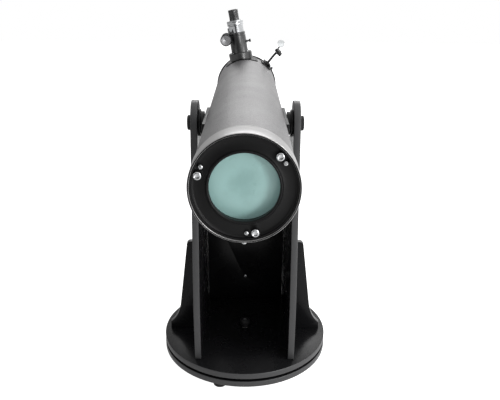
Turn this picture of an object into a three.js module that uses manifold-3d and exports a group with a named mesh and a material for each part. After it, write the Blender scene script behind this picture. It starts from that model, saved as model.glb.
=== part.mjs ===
// A six-inch Dobsonian telescope: a Newtonian tube on a rocker box that turns on a ground board.
// Millimetres, +Z up. The origin is on the floor below the azimuth axis. The tube lies level along Y,
// with its mirror end at -Y and its open end at +Y.
import * as THREE from "three";
import { mergeVertices } from "three/addons/utils/BufferGeometryUtils.js";
import Module from "manifold-3d";

const wasm = await Module();
wasm.setup();

// ---------------------------------------------------------------- clearances
const SLIP = 0.3; // between pieces that slide, seat or turn on each other
const THREAD = 0.25; // round a screw in its hole

// ---------------------------------------------------------------- small shares
const BITE = 1; // how far solids that are joined or cut run into each other
const CHAMFER = 1; // along the edges of turned metal and plastic pieces
const HEAD_CHAMFER = 0.2; // a share of a screw's head

// ---------------------------------------------------------------- roundness
const TUBE_SEGMENTS = 48; // round the tube, its rings and the boards
const KNOB_SEGMENTS = 24; // round knobs, hubs and barrels
const SCREW_SEGMENTS = 12; // round screws and their holes

// ---------------------------------------------------------------- overall sizes
const TUBE_LENGTH = 1052; // from the rear ring's lip to the front ring's lip
const MIRROR_DIAMETER = 152;
const MIRROR_ROOM = 14.5; // from the mirror's edge to the tube's bore
const TUBE_WALL = 1;
const BALANCE_LENGTH = 491; // from the rear lip to the altitude axis
const SWING_ROOM = 87.2; // under the tube's mirror end as it swings past the rocker board
const SIDE_GAP = 20; // from the tube to each side panel
const BOARD = 16; // thickness of every board
const BOARD_EDGE = 1.5; // chamfer along the edges of the boards

// ---------------------------------------------------------------- base
const ROCKER_MARGIN = 15.5; // from the wings' toes to the rocker board's rim
const GROUND_MARGIN = 0.5; // how far the ground board stands out past the rocker board
const FOOT_DIAMETER = 34;
const FOOT_HEIGHT = 20;
const FOOT_ROUNDING = 3; // at the floor
const FOOT_INSET = 30; // from the ground board's rim to the feet's centres
const FIRST_FOOT_ANGLE = 251; // degrees from +X
const PAD_HEIGHT = 7;
const PAD_DIAMETER = 36;
const AZIMUTH_BOLT_DIAMETER = 10;
const AZIMUTH_BUSH_WALL = 3;
const BOLT_HEAD_DIAMETER = 26;
const BOLT_HEAD_HEIGHT = 6;
const NUT_DIAMETER = 28;
const NUT_HEIGHT = 23;
const NUT_GRIP = 13; // height of the nut's grip, above its neck
const NUT_NECK_INSET = 5; // how much narrower the neck is than the grip, all round

// ---------------------------------------------------------------- side panels, wings and front board
const PANEL_REAR = 160; // from the azimuth axis back to the panels' rear edge
const PANEL_FRONT = 180; // from the azimuth axis forward to the panels' front edge
const PANEL_TOP_RADIUS = 53;
const PANEL_REAR_UPRIGHT = 150; // height of the upright foot of the rear edge
const PANEL_FRONT_UPRIGHT = 330;
const PANEL_CORNER = 4;
const PANEL_BUSH_DIAMETER = 18;
const WING_REACH = 79; // how far a wing stands out from its panel at the floor
const WING_WAIST = 49.5; // and above its flared foot
const WING_TOP = 27; // and at its top
const WING_HEIGHT = 267;
const WING_FLARE_HEIGHT = 80;
const WING_TOE_HEIGHT = 21;
const WING_SWEEP = new THREE.Vector2(6, 18); // from the waist and the toe to the flare's control point
const WING_CORNER = 10;
const WING_SETBACK = 12; // from the azimuth axis back to the wings' rear faces
const FRONT_BOARD_HEIGHT = 320;
const BOARD_SCREW_RISE = 75; // from the rocker board to the screw in the front board
const BOARD_SCREW_HEAD = 10;
const BOARD_SCREW_HEAD_HEIGHT = 3;

// ---------------------------------------------------------------- rings at the tube's ends
const REAR_RING_LENGTH = 53;
const REAR_RING_THICKNESS = 1.7;
const REAR_LIP = 3.7;
const FRONT_RING_LENGTH = 12;
const FRONT_RING_THICKNESS = 3;
const FRONT_LIP = 3;
const LIP_DEPTH = 1.5; // how far a lip covers the tube's edge

// ---------------------------------------------------------------- mirror cell
const CELL_RECESS = 10.5; // from the rear lip to the cell plate's web
const CELL_WEB = 5;
const CELL_RIM = 3;
const CELL_LEDGE = 17.5; // how far the cell plate reaches in past the mirror's edge
const CARRIER_GAP = 10; // from the cell plate to the mirror carrier
const CARRIER_THICKNESS = 6;
const CARRIER_RIM = 3; // wall round the mirror's edge
const CARRIER_ROOM = 4.5; // from the carrier to the tube's bore
const CARRIER_LEDGE = 13; // how far the carrier reaches in past the mirror's edge
const MIRROR_THICKNESS = 22;
const COLLIMATION_INSET = 11.5; // from the tube's bore to the screws of the cell
const KNOB_ANGLE = 43.6; // first collimation knob, degrees from +X
const LOCK_ANGLE = 32.8; // first lock screw
const CELL_KNOB_DIAMETER = 14.4;
const CELL_KNOB_HEIGHT = 10;
const CELL_SCREW_DIAMETER = 5;
const LOCK_HEAD_DIAMETER = 8.6;
const LOCK_HEAD_HEIGHT = 5;
const LOCK_SCREW_DIAMETER = 4;
const SPRING_DIAMETER = 9.6;
const SPRING_WIRE = 1.1;
const SPRING_TURNS = 3.5;
const COIL_STEPS = 10; // straight steps in one turn of a spring
const RING_SCREW_HEAD = 8;
const RING_SCREW_HEAD_HEIGHT = 4;
const RING_SCREW_DIAMETER = 4;
const RING_SCREW_SETBACK = 7; // from the rear lip

// ---------------------------------------------------------------- altitude bearings
const RAIL_LENGTH = 190;
const RAIL_HEIGHT = 36;
const RAIL_THICKNESS = 6;
const HUB_DIAMETER = 64;
const HUB_STEP = 5; // thickness of the hub's wider face
const HUB_NECK_DIAMETER = 54;
const HUB_END = 4; // behind the bolt's hole
const ALTITUDE_BOLT_DIAMETER = 10;
const ALTITUDE_KNOB_DIAMETER = 35.5;
const ALTITUDE_KNOB_THICKNESS = 11;

// ---------------------------------------------------------------- focuser
const FOCUSER_FROM_FRONT = 64; // from the front lip to the focuser's axis
const FOCUSER_LEAN = 10.4; // degrees from the vertical towards -X
const SADDLE_THICKNESS = 2;
const SADDLE_LENGTH = 84;
const SADDLE_ARC = 63; // degrees of the tube that the saddle covers
const DRAWTUBE_DIAMETER = 44;
const DRAWTUBE_WALL = 2.5;
const DRAWTUBE_RISE = 16.5; // from the tube's side to the drawtube's inner end
const BARREL_WALL = 2.7;
const BARREL_RISE = 78;
const FLANGE_WIDTH = 10.5; // round the barrel
const FLANGE_RISE = 20;
const LIGHT_ROOM = 3; // round the drawtube, in the saddle
const COLLAR_WALL = 2.4; // round the drawtube
const COLLAR_RISE = 98.5;
const COLLAR_HEIGHT = 14;
const EYEPIECE_BARREL = 31.7;
const EYEPIECE_INSERT = 24;
const EYEPIECE_DIAMETER = 29.4;
const EYEPIECE_HEIGHT = 31.5;
const STOP_LEDGE = 2; // the ledge under the eyepiece, its width and its thickness
const EYE_LENS = 15;
const EYE_CONE = 3; // depth and width of the cone round the eye lens
const RACK_WIDTH = 8;
const RACK_THICKNESS = 4;
const RACK_END = 2; // from the rack's ends to the drawtube's end and to its collar
const PINION_RADIUS = 8.7;
const PINION_LENGTH = 14;
const PINION_RISE = 63.2; // from the tube's side to the pinion's axis
const PINION_BOX_LENGTH = 40;
const PINION_BOX_WALL = 3.5;
const FOCUS_SHAFT_DIAMETER = 6;
const FOCUS_KNOB_DIAMETER = 34;
const FOCUS_KNOB_THICKNESS = 13;
const FOCUS_KNOB_GAP = 3;
const FOCUS_KNOB_BEVEL = 2; // at its inner end
const LOCK_RISE = 48.5;
const THUMB_DIAMETER = 9;
const THUMB_LENGTH = 9;
const THUMB_RIM = 2; // thickness of a thumbscrew's head at its rim
const THUMB_COLLAR = 3; // thickness of its collar
const THUMB_COLLAR_WIDTH = 1.5; // past its shank
const SMALL_SCREW_DIAMETER = 4;
const TENSION_HEAD = 6; // width and height of the tension screw's head
const SET_SCREW_HEAD = 5;
const SET_SCREW_HEAD_HEIGHT = 3;

// ---------------------------------------------------------------- secondary mirror and spider
const SPIDER_HUB_DIAMETER = 26;
const SPIDER_HUB_LENGTH = 14;
const VANE_THICKNESS = 1.2;
const VANE_GAP = 1.3; // from a vane's end to the tube's bore
const FIRST_VANE_ANGLE = 30; // degrees, inside the focuser's frame
const SECONDARY_DIAMETER = 36; // across its narrow way
const SECONDARY_THICKNESS = 6;
const HOLDER_LENGTH = 20;
const HOLDER_MARGIN = 2; // how much narrower the holder is than its mirror
const HOLDER_STEM_DIAMETER = 8;
const HOLDER_GAP = 6; // from the holder to the spider's hub
const STEM_END = 4; // past the hub

// ---------------------------------------------------------------- finder
const FINDER_ANGLE = 40; // degrees from the vertical towards +X
const FINDER_FROM_FRONT = 62;
const FINDER_SHOE_WIDTH = 33;
const FINDER_SHOE_LENGTH = 54;
const FINDER_SHOE_FLOOR = 2.5;
const DOVETAIL_WIDTH = 13;
const DOVETAIL_HEIGHT = 8;
const DOVETAIL_PROUD = 2; // above the shoe's jaws
const SHOE_JAW = 5;
const FINDER_STALK_THICKNESS = 5;
const FINDER_STALK_LENGTH = 26;
const FINDER_BODY_RISE = 49.5; // from the tube's side
const FINDER_BODY_WIDTH = 16;
const FINDER_BODY_HEIGHT = 13;
const FINDER_BODY_LENGTH = 62;
const FINDER_BODY_SHIFT = 6; // from the stalk towards +X
const WINDOW_DIAMETER = 19;
const WINDOW_RIM = 1.6;
const WINDOW_RISE = 78.5; // from the tube's side to the window's centre
const WINDOW_SHIFT = -3; // from the stalk
const HOOP_NECK_WIDTH = 5;
const WINDOW_DEPTH = 5;
const WINDOW_GLASS = 1.5;
const FINDER_KNOB_DIAMETER = 9;
const FINDER_KNOB_LENGTH = 7;
const FINDER_KNOB_RISE = 1; // above the middle of the body

// ---------------------------------------------------------------- worked-out places
const boreRadius = MIRROR_DIAMETER / 2 + MIRROR_ROOM;
const tubeRadius = boreRadius + TUBE_WALL;
const sleeveRadius = tubeRadius + SLIP + REAR_RING_THICKNESS;
const panelInside = tubeRadius + SIDE_GAP;
const panelOutside = panelInside + BOARD;
const rockerRadius = panelOutside + WING_REACH + ROCKER_MARGIN;
const groundRadius = rockerRadius + GROUND_MARGIN;
const groundTop = FOOT_HEIGHT + BOARD;
const rockerBottom = groundTop + PAD_HEIGHT;
const rockerTop = rockerBottom + BOARD;
const pivotZ = rockerTop + Math.hypot(BALANCE_LENGTH, sleeveRadius) + SWING_ROOM;
const pivotY = BALANCE_LENGTH - TUBE_LENGTH / 2;
const cellOpening = MIRROR_DIAMETER - 2 * CELL_LEDGE;
const collimationRadius = boreRadius - COLLIMATION_INSET;
const carrierAt = CELL_RECESS + CELL_WEB + CARRIER_GAP;
const mirrorAt = carrierAt + CARRIER_THICKNESS + SLIP;
const focuserAt = TUBE_LENGTH - FOCUSER_FROM_FRONT;
const saddleTop = tubeRadius + SLIP + SADDLE_THICKNESS;
const drawtubeRadius = DRAWTUBE_DIAMETER / 2;
const barrelRadius = drawtubeRadius + SLIP + BARREL_WALL;
const barrelTop = tubeRadius + BARREL_RISE;
const flangeRadius = barrelRadius + FLANGE_WIDTH;
const flangeTop = tubeRadius + FLANGE_RISE;
const lightHole = DRAWTUBE_DIAMETER + 2 * LIGHT_ROOM;
const collarRadius = drawtubeRadius + COLLAR_WALL;
const collarBottom = tubeRadius + COLLAR_RISE;
const collarTop = collarBottom + COLLAR_HEIGHT;
const lockZ = tubeRadius + LOCK_RISE;
const pinionZ = tubeRadius + PINION_RISE;
const pinionOffset = drawtubeRadius + RACK_THICKNESS + PINION_RADIUS + SLIP;

// ---------------------------------------------------------------- helpers
const X = new THREE.Vector3(1, 0, 0);
const Y = new THREE.Vector3(0, 1, 0);
const Z = new THREE.Vector3(0, 0, 1);
const radians = THREE.MathUtils.degToRad;

// A closed geometry as a solid that booleans can use.
function solid(geometry) {
  const bare = geometry.clone();
  bare.deleteAttribute("normal");
  bare.deleteAttribute("uv");
  const merged = mergeVertices(bare, 1e-4);
  return new wasm.Manifold(
    new wasm.Mesh({
      numProp: 3,
      vertProperties: merged.attributes.position.array,
      triVerts: new Uint32Array(merged.index.array),
    }),
  );
}

// A solid back as a geometry with flat faces.
function geometryOf(shape) {
  const mesh = shape.getMesh();
  const geometry = new THREE.BufferGeometry();
  geometry.setAttribute("position", new THREE.BufferAttribute(mesh.vertProperties, 3));
  geometry.setIndex(new THREE.BufferAttribute(mesh.triVerts, 1));
  const flat = geometry.toNonIndexed();
  flat.computeVertexNormals();
  return flat;
}

function join(...geometries) {
  return geometryOf(geometries.map(solid).reduce((all, next) => all.add(next)));
}

function cut(geometry, ...tools) {
  return geometryOf(tools.map(solid).reduce((left, tool) => left.subtract(tool), solid(geometry)));
}

function moved(geometry, x, y, z) {
  return geometry.translate(x, y, z);
}

// A box from its lowest to its highest corner.
function block(low, high) {
  const size = high.map((value, i) => value - low[i]);
  return moved(new THREE.BoxGeometry(...size), ...low.map((value, i) => value + size[i] / 2));
}

// A profile of [radius, height] points turned about the Y axis, with its faces out.
function turned(points, segments) {
  const profile = points.map(([radius, height]) => new THREE.Vector2(radius, height));
  const onAxis = profile[0].x === 0 && profile.at(-1).x === 0;
  if (THREE.ShapeUtils.area(profile) < 0) profile.reverse();
  if (!onAxis) profile.push(profile[0].clone());
  return new THREE.LatheGeometry(profile, segments);
}

// The same, with its axis turned to point along Z or along X.
const turnedUp = (points, segments) => turned(points, segments).rotateX(Math.PI / 2);
const turnedAcross = (points, segments) => turned(points, segments).rotateZ(-Math.PI / 2);

// A plain rod from one height to another, along Y.
function rod(diameter, from, to, segments) {
  return turned([[0, from], [diameter / 2, from], [diameter / 2, to], [0, to]], segments);
}
const rodUp = (...sizes) => rod(...sizes).rotateX(Math.PI / 2);
const rodAcross = (...sizes) => rod(...sizes).rotateZ(-Math.PI / 2);

// A flat outline as a board with chamfered edges. It stands along `right` and `up`,
// and its thickness runs from the origin along their cross product.
function board(outline, thickness, edge, right, up) {
  const geometry = new THREE.ExtrudeGeometry(outline, {
    depth: thickness - 2 * edge,
    bevelEnabled: edge > 0,
    bevelSegments: 1,
    bevelSize: edge,
    bevelThickness: edge,
    bevelOffset: -edge,
    curveSegments: 10,
  });
  geometry.translate(0, 0, edge);
  const out = new THREE.Vector3().crossVectors(right, up);
  return geometry.applyMatrix4(new THREE.Matrix4().makeBasis(right, up, out));
}

function finish(color, metalness, roughness) {
  return { color, metalness, roughness };
}
const LAMINATE = finish(0x17181a, 0, 0.4);
const HAMMERTONE = finish(0x8d8c92, 0.3, 0.5);
const SILVER = finish(0xc9c9cc, 0.8, 0.35);
const BLACK_PAINT = finish(0x151516, 0.2, 0.45);
const BLACK_PLASTIC = finish(0x1b1b1c, 0, 0.5);
const CHROME = finish(0xe2e4e6, 1, 0.1);
const STEEL = finish(0xb8babd, 1, 0.35);
const RUBBER = finish(0x0f0f0f, 0, 0.9);
const NYLON = finish(0xe8e6dd, 0, 0.5);
const GLASS_BLANK = finish(0x9cc4bd, 0, 0.15);
const MIRROR = finish(0xf0f2f4, 1, 0.02);
const CLEAR = finish(0xdfe6ea, 0, 0.05);

// Puts a named piece into a group, in its finish.
function add(group, name, geometry, look) {
  const mesh = new THREE.Mesh(geometry, new THREE.MeshStandardMaterial(look));
  mesh.name = name;
  group.add(mesh);
}

// A screw or a knob along Y: its head is behind the origin, and its shank runs ahead of it.
function headed(headDiameter, headHeight, shankDiameter, shankLength, segments) {
  const head = headDiameter / 2;
  const chamfer = HEAD_CHAMFER * Math.min(headHeight, head);
  return turned(
    [
      [0, -headHeight],
      [head - chamfer, -headHeight],
      [head, chamfer - headHeight],
      [head, 0],
      [shankDiameter / 2, 0],
      [shankDiameter / 2, shankLength],
      [0, shankLength],
    ],
    segments,
  );
}

// ---------------------------------------------------------------- ground board and what it carries
// A round board with a hole in its middle, lying flat.
function roundBoard(rim, hole) {
  return turned(
    [
      [hole / 2, 0],
      [rim - BOARD_EDGE, 0],
      [rim, BOARD_EDGE],
      [rim, BOARD - BOARD_EDGE],
      [rim - BOARD_EDGE, BOARD],
      [hole / 2, BOARD],
    ],
    TUBE_SEGMENTS,
  ).rotateX(Math.PI / 2);
}

function foot() {
  const radius = FOOT_DIAMETER / 2;
  return turnedUp(
    [
      [0, 0],
      [radius - FOOT_ROUNDING, 0],
      [radius - CHAMFER, FOOT_ROUNDING - CHAMFER],
      [radius, FOOT_HEIGHT],
      [0, FOOT_HEIGHT],
    ],
    KNOB_SEGMENTS,
  );
}

function groundAssembly(group) {
  const boltHole = AZIMUTH_BOLT_DIAMETER + 2 * THREAD;
  add(group, "ground_board", moved(roundBoard(groundRadius, boltHole), 0, 0, FOOT_HEIGHT), LAMINATE);
  for (let i = 0; i < 3; i++) {
    const angle = radians(FIRST_FOOT_ANGLE + 120 * i);
    const x = (groundRadius - FOOT_INSET) * Math.cos(angle);
    const y = (groundRadius - FOOT_INSET) * Math.sin(angle);
    add(group, `foot_${i + 1}`, moved(foot(), x, y, 0), RUBBER);
    const pad = rodUp(PAD_DIAMETER, groundTop, rockerBottom, KNOB_SEGMENTS);
    add(group, `glide_pad_${i + 1}`, moved(pad, x, y, 0), NYLON);
  }
  const boltTop = rockerTop + NUT_HEIGHT - SLIP;
  const bolt = headed(
    BOLT_HEAD_DIAMETER,
    BOLT_HEAD_HEIGHT,
    AZIMUTH_BOLT_DIAMETER,
    boltTop - FOOT_HEIGHT,
    KNOB_SEGMENTS,
  );
  add(group, "azimuth_bolt", moved(bolt.rotateX(Math.PI / 2), 0, 0, FOOT_HEIGHT), STEEL);
}

// ---------------------------------------------------------------- rocker box
// The side panel's outline, with Y across and Z up: a broad foot, two leaning edges and a round head.
function panelOutline() {
  const outline = new THREE.Shape();
  const head = new THREE.Vector2(pivotY, pivotZ);
  const rear = new THREE.Vector2(-PANEL_REAR, rockerTop + PANEL_REAR_UPRIGHT);
  const front = new THREE.Vector2(PANEL_FRONT, rockerTop + PANEL_FRONT_UPRIGHT);
  // The angle on the round head where a leaning edge from `corner` touches it.
  const touch = (corner, side) => {
    const away = corner.clone().sub(head);
    return away.angle() + side * Math.acos(PANEL_TOP_RADIUS / away.length());
  };
  const rearTouch = touch(rear, -1);
  const frontTouch = touch(front, 1);
  outline.moveTo(PANEL_FRONT, rockerTop);
  outline.lineTo(front.x, front.y);
  outline.absarc(head.x, head.y, PANEL_TOP_RADIUS, frontTouch, rearTouch, false);
  outline.lineTo(rear.x, rear.y);
  const toe = new THREE.Vector2(PANEL_CORNER - PANEL_REAR, rockerTop + PANEL_CORNER);
  outline.lineTo(-PANEL_REAR, toe.y);
  outline.absarc(toe.x, toe.y, PANEL_CORNER, Math.PI, 1.5 * Math.PI, false);
  const hole = new THREE.Path();
  hole.absarc(head.x, head.y, PANEL_BUSH_DIAMETER / 2 + SLIP, 0, 2 * Math.PI, true);
  outline.holes.push(hole);
  return outline;
}

// The wing's outline, with X across and Z up, from its panel outwards.
function wingOutline() {
  const outline = new THREE.Shape();
  const top = rockerTop + WING_HEIGHT;
  outline.moveTo(0, rockerTop);
  outline.lineTo(WING_REACH, rockerTop);
  outline.lineTo(WING_REACH, rockerTop + WING_TOE_HEIGHT);
  outline.quadraticCurveTo(
    WING_WAIST + WING_SWEEP.x,
    rockerTop + WING_TOE_HEIGHT + WING_SWEEP.y,
    WING_WAIST,
    rockerTop + WING_FLARE_HEIGHT,
  );
  outline.lineTo(WING_TOP, top - WING_CORNER);
  outline.quadraticCurveTo(WING_TOP, top, WING_TOP - WING_CORNER, top);
  outline.lineTo(0, top);
  return outline;
}

function rockerAssembly(group) {
  const bushDiameter = AZIMUTH_BOLT_DIAMETER + 2 * THREAD + 2 * AZIMUTH_BUSH_WALL;
  const rockerBoard = roundBoard(rockerRadius, bushDiameter + 2 * SLIP);
  add(group, "rocker_board", moved(rockerBoard, 0, 0, rockerBottom), LAMINATE);
  const azimuthBush = turnedUp(
    [
      [AZIMUTH_BOLT_DIAMETER / 2 + THREAD, rockerBottom],
      [bushDiameter / 2, rockerBottom],
      [bushDiameter / 2, rockerTop - SLIP],
      [AZIMUTH_BOLT_DIAMETER / 2 + THREAD, rockerTop - SLIP],
    ],
    KNOB_SEGMENTS,
  );
  add(group, "azimuth_bushing", azimuthBush, NYLON);

  for (const [side, sign] of [["left", -1], ["right", 1]]) {
    const panel = board(panelOutline(), BOARD, BOARD_EDGE, Y, Z);
    const panelAt = sign > 0 ? panelInside : -panelOutside;
    add(group, `${side}_side_panel`, moved(panel, panelAt, 0, 0), LAMINATE);

    const bush = turnedAcross(
      [
        [ALTITUDE_BOLT_DIAMETER / 2 + THREAD, panelInside],
        [PANEL_BUSH_DIAMETER / 2, panelInside],
        [PANEL_BUSH_DIAMETER / 2, panelOutside],
        [ALTITUDE_BOLT_DIAMETER / 2 + THREAD, panelOutside],
      ],
      KNOB_SEGMENTS,
    );
    if (sign < 0) bush.rotateY(Math.PI);
    add(group, `${side}_panel_bush`, moved(bush, 0, pivotY, pivotZ), NYLON);

    const wing = board(wingOutline(), BOARD, BOARD_EDGE, X, Z);
    if (sign < 0) moved(wing.rotateZ(Math.PI), 0, -BOARD, 0);
    add(group, `${side}_wing`, moved(wing, sign * panelOutside, BOARD - WING_SETBACK, 0), LAMINATE);
  }

  const width = panelInside - SLIP;
  const outline = new THREE.Shape([
    new THREE.Vector2(-width, rockerTop),
    new THREE.Vector2(width, rockerTop),
    new THREE.Vector2(width, rockerTop + FRONT_BOARD_HEIGHT),
    new THREE.Vector2(-width, rockerTop + FRONT_BOARD_HEIGHT),
  ]);
  const screwHole = new THREE.Path();
  const screwZ = rockerTop + BOARD_SCREW_RISE;
  screwHole.absarc(0, screwZ, SMALL_SCREW_DIAMETER / 2 + THREAD, 0, 2 * Math.PI, true);
  outline.holes.push(screwHole);
  add(group, "front_board", moved(board(outline, BOARD, BOARD_EDGE, X, Z), 0, PANEL_FRONT, 0), LAMINATE);
  const screw = headed(
    BOARD_SCREW_HEAD,
    BOARD_SCREW_HEAD_HEIGHT,
    SMALL_SCREW_DIAMETER,
    BOARD - CHAMFER,
    SCREW_SEGMENTS,
  );
  add(group, "front_board_screw", moved(screw, 0, PANEL_FRONT - BOARD - SLIP, screwZ), CHROME);
}

// The knob that holds the rocker board down, on the azimuth bolt.
function azimuthNut(group) {
  const radius = NUT_DIAMETER / 2;
  const bore = AZIMUTH_BOLT_DIAMETER / 2 + THREAD;
  const gripBottom = rockerTop + NUT_HEIGHT - NUT_GRIP;
  const nut = turnedUp(
    [
      [bore, rockerTop],
      [radius - NUT_NECK_INSET, rockerTop],
      [radius - NUT_NECK_INSET, gripBottom],
      [radius - CHAMFER, gripBottom],
      [radius, gripBottom + CHAMFER],
      [radius, gripBottom + NUT_GRIP - CHAMFER],
      [radius - CHAMFER, gripBottom + NUT_GRIP],
      [bore, rockerTop + NUT_HEIGHT],
    ],
    KNOB_SEGMENTS,
  );
  add(group, "azimuth_nut", nut, BLACK_PLASTIC);
}

// ---------------------------------------------------------------- tube and its rings
// Inside the tube's group, Y is the distance from the rear ring's lip.

// A ring that sleeves the tube's end and turns in over its edge. It is drawn for the rear end.
function endRing(length, thickness, lip) {
  const outside = tubeRadius + SLIP + thickness;
  const chamfer = thickness / 2;
  return turned(
    [
      [tubeRadius - LIP_DEPTH, 0],
      [outside - chamfer, 0],
      [outside, chamfer],
      [outside, length],
      [tubeRadius + SLIP, length],
      [tubeRadius + SLIP, lip],
      [tubeRadius - LIP_DEPTH, lip],
    ],
    TUBE_SEGMENTS,
  );
}

// The hole for the ring screw, through the ring, the tube and the cell's rim below the tube's axis.
function ringScrewHole() {
  const hole = rodUp(RING_SCREW_DIAMETER + 2 * THREAD, -2 * tubeRadius, -cellOpening / 2, SCREW_SEGMENTS);
  return moved(hole, 0, RING_SCREW_SETBACK, 0);
}

function tubeAssembly(group) {
  const tubeRear = REAR_LIP + SLIP;
  const tubeFront = TUBE_LENGTH - FRONT_LIP - SLIP;
  const shell = turned(
    [[boreRadius, tubeRear], [tubeRadius, tubeRear], [tubeRadius, tubeFront], [boreRadius, tubeFront]],
    TUBE_SEGMENTS,
  );
  const focuserHole = rodUp(lightHole + 2, 0, flangeTop, KNOB_SEGMENTS).rotateY(-radians(FOCUSER_LEAN));
  const screwHole = ringScrewHole();
  add(group, "main_tube", cut(shell, moved(focuserHole, 0, focuserAt, 0), screwHole), HAMMERTONE);
  const rearRing = endRing(REAR_RING_LENGTH, REAR_RING_THICKNESS, REAR_LIP);
  add(group, "rear_ring", cut(rearRing, screwHole), SILVER);
  const frontRing = endRing(FRONT_RING_LENGTH, FRONT_RING_THICKNESS, FRONT_LIP).rotateX(Math.PI);
  add(group, "front_ring", moved(frontRing, 0, TUBE_LENGTH, 0), BLACK_PAINT);

  const ringScrew = headed(
    RING_SCREW_HEAD,
    RING_SCREW_HEAD_HEIGHT,
    RING_SCREW_DIAMETER,
    sleeveRadius - boreRadius + CELL_RIM,
    SCREW_SEGMENTS,
  );
  moved(ringScrew.rotateX(Math.PI / 2), 0, RING_SCREW_SETBACK, -sleeveRadius - SLIP);
  add(group, "ring_screw", ringScrew, CHROME);
}

// ---------------------------------------------------------------- mirror cell
// A place on the collimation circle, at an angle from +X.
function onCircle(geometry, degrees, y) {
  const angle = radians(degrees);
  return moved(geometry, collimationRadius * Math.cos(angle), y, collimationRadius * Math.sin(angle));
}

function cellHoles(diameter, firstAngle, from, to) {
  const hole = (step) => onCircle(rod(diameter, from, to, SCREW_SEGMENTS), firstAngle + step, 0);
  return [0, 120, 240].map(hole);
}

function mirrorCell(group) {
  const webEnd = CELL_RECESS + CELL_WEB;
  const rimOutside = boreRadius - SLIP;
  const plate = turned(
    [
      [cellOpening / 2, CELL_RECESS],
      [rimOutside - CELL_RIM, CELL_RECESS],
      [rimOutside - CELL_RIM, REAR_LIP + SLIP],
      [rimOutside, REAR_LIP + SLIP],
      [rimOutside, webEnd],
      [cellOpening / 2, webEnd],
    ],
    TUBE_SEGMENTS,
  );
  const cellPlate = cut(
    plate,
    ringScrewHole(),
    ...cellHoles(CELL_SCREW_DIAMETER + 2 * THREAD, KNOB_ANGLE, 0, carrierAt),
    ...cellHoles(LOCK_SCREW_DIAMETER + 2 * THREAD, LOCK_ANGLE, 0, carrierAt),
  );
  add(group, "cell_plate", cellPlate, BLACK_PAINT);

  // The carrier's ledge holds the mirror's edge, and its rim stands round the mirror.
  const carrierEnd = carrierAt + CARRIER_THICKNESS;
  const mirrorSeat = MIRROR_DIAMETER / 2 + SLIP;
  const carrierRadius = boreRadius - CARRIER_ROOM;
  const carrierOpening = MIRROR_DIAMETER / 2 - CARRIER_LEDGE;
  const ring = turned(
    [
      [carrierOpening, carrierAt],
      [carrierRadius, carrierAt],
      [carrierRadius, carrierEnd],
      [mirrorSeat + CARRIER_RIM, carrierEnd],
      [mirrorSeat + CARRIER_RIM, mirrorAt + MIRROR_THICKNESS / 2],
      [mirrorSeat, mirrorAt + MIRROR_THICKNESS / 2],
      [mirrorSeat, carrierEnd],
      [carrierOpening, carrierEnd],
    ],
    TUBE_SEGMENTS,
  );
  const threadEnd = carrierEnd - BITE;
  const carrier = cut(ring, ...cellHoles(CELL_SCREW_DIAMETER + 2 * THREAD, KNOB_ANGLE, 0, threadEnd));
  add(group, "mirror_carrier", carrier, BLACK_PAINT);
  const mirror = rod(MIRROR_DIAMETER, mirrorAt, mirrorAt + MIRROR_THICKNESS, TUBE_SEGMENTS);
  add(group, "primary_mirror", mirror, GLASS_BLANK);

  const around = [0, 120, 240];
  const coilRadius = (SPRING_DIAMETER - SPRING_WIRE) / 2;
  const coilRoom = CARRIER_GAP - SPRING_WIRE - 2 * SLIP;
  class Coil extends THREE.Curve {
    getPoint(t, target = new THREE.Vector3()) {
      const angle = 2 * Math.PI * SPRING_TURNS * t;
      return target.set(coilRadius * Math.cos(angle), coilRoom * (t - 0.5), coilRadius * Math.sin(angle));
    }
  }
  const wire = new THREE.Shape().absarc(0, 0, SPRING_WIRE / 2, 0, 2 * Math.PI, false);
  for (const [i, step] of around.entries()) {
    const place = (geometry, angle, y) => onCircle(geometry, angle + step, y);
    const number = i + 1;
    const spring = new THREE.ExtrudeGeometry(wire, {
      steps: Math.round(SPRING_TURNS * COIL_STEPS),
      curveSegments: 2,
      bevelEnabled: false,
      extrudePath: new Coil(),
    });
    const springAt = webEnd + CARRIER_GAP / 2;
    add(group, `collimation_spring_${number}`, place(spring, KNOB_ANGLE, springAt), STEEL);
    const knobReach = CELL_WEB + CARRIER_GAP + CARRIER_THICKNESS - 2 * BITE;
    const knob = headed(CELL_KNOB_DIAMETER, CELL_KNOB_HEIGHT, CELL_SCREW_DIAMETER, knobReach, KNOB_SEGMENTS);
    add(group, `collimation_knob_${number}`, place(knob, KNOB_ANGLE, CELL_RECESS - SLIP), CHROME);
    const lockReach = CELL_WEB + CARRIER_GAP - SLIP;
    const lock = headed(LOCK_HEAD_DIAMETER, LOCK_HEAD_HEIGHT, LOCK_SCREW_DIAMETER, lockReach, SCREW_SEGMENTS);
    add(group, `collimation_lock_screw_${number}`, place(lock, LOCK_ANGLE, CELL_RECESS - SLIP), CHROME);
  }
}

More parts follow.
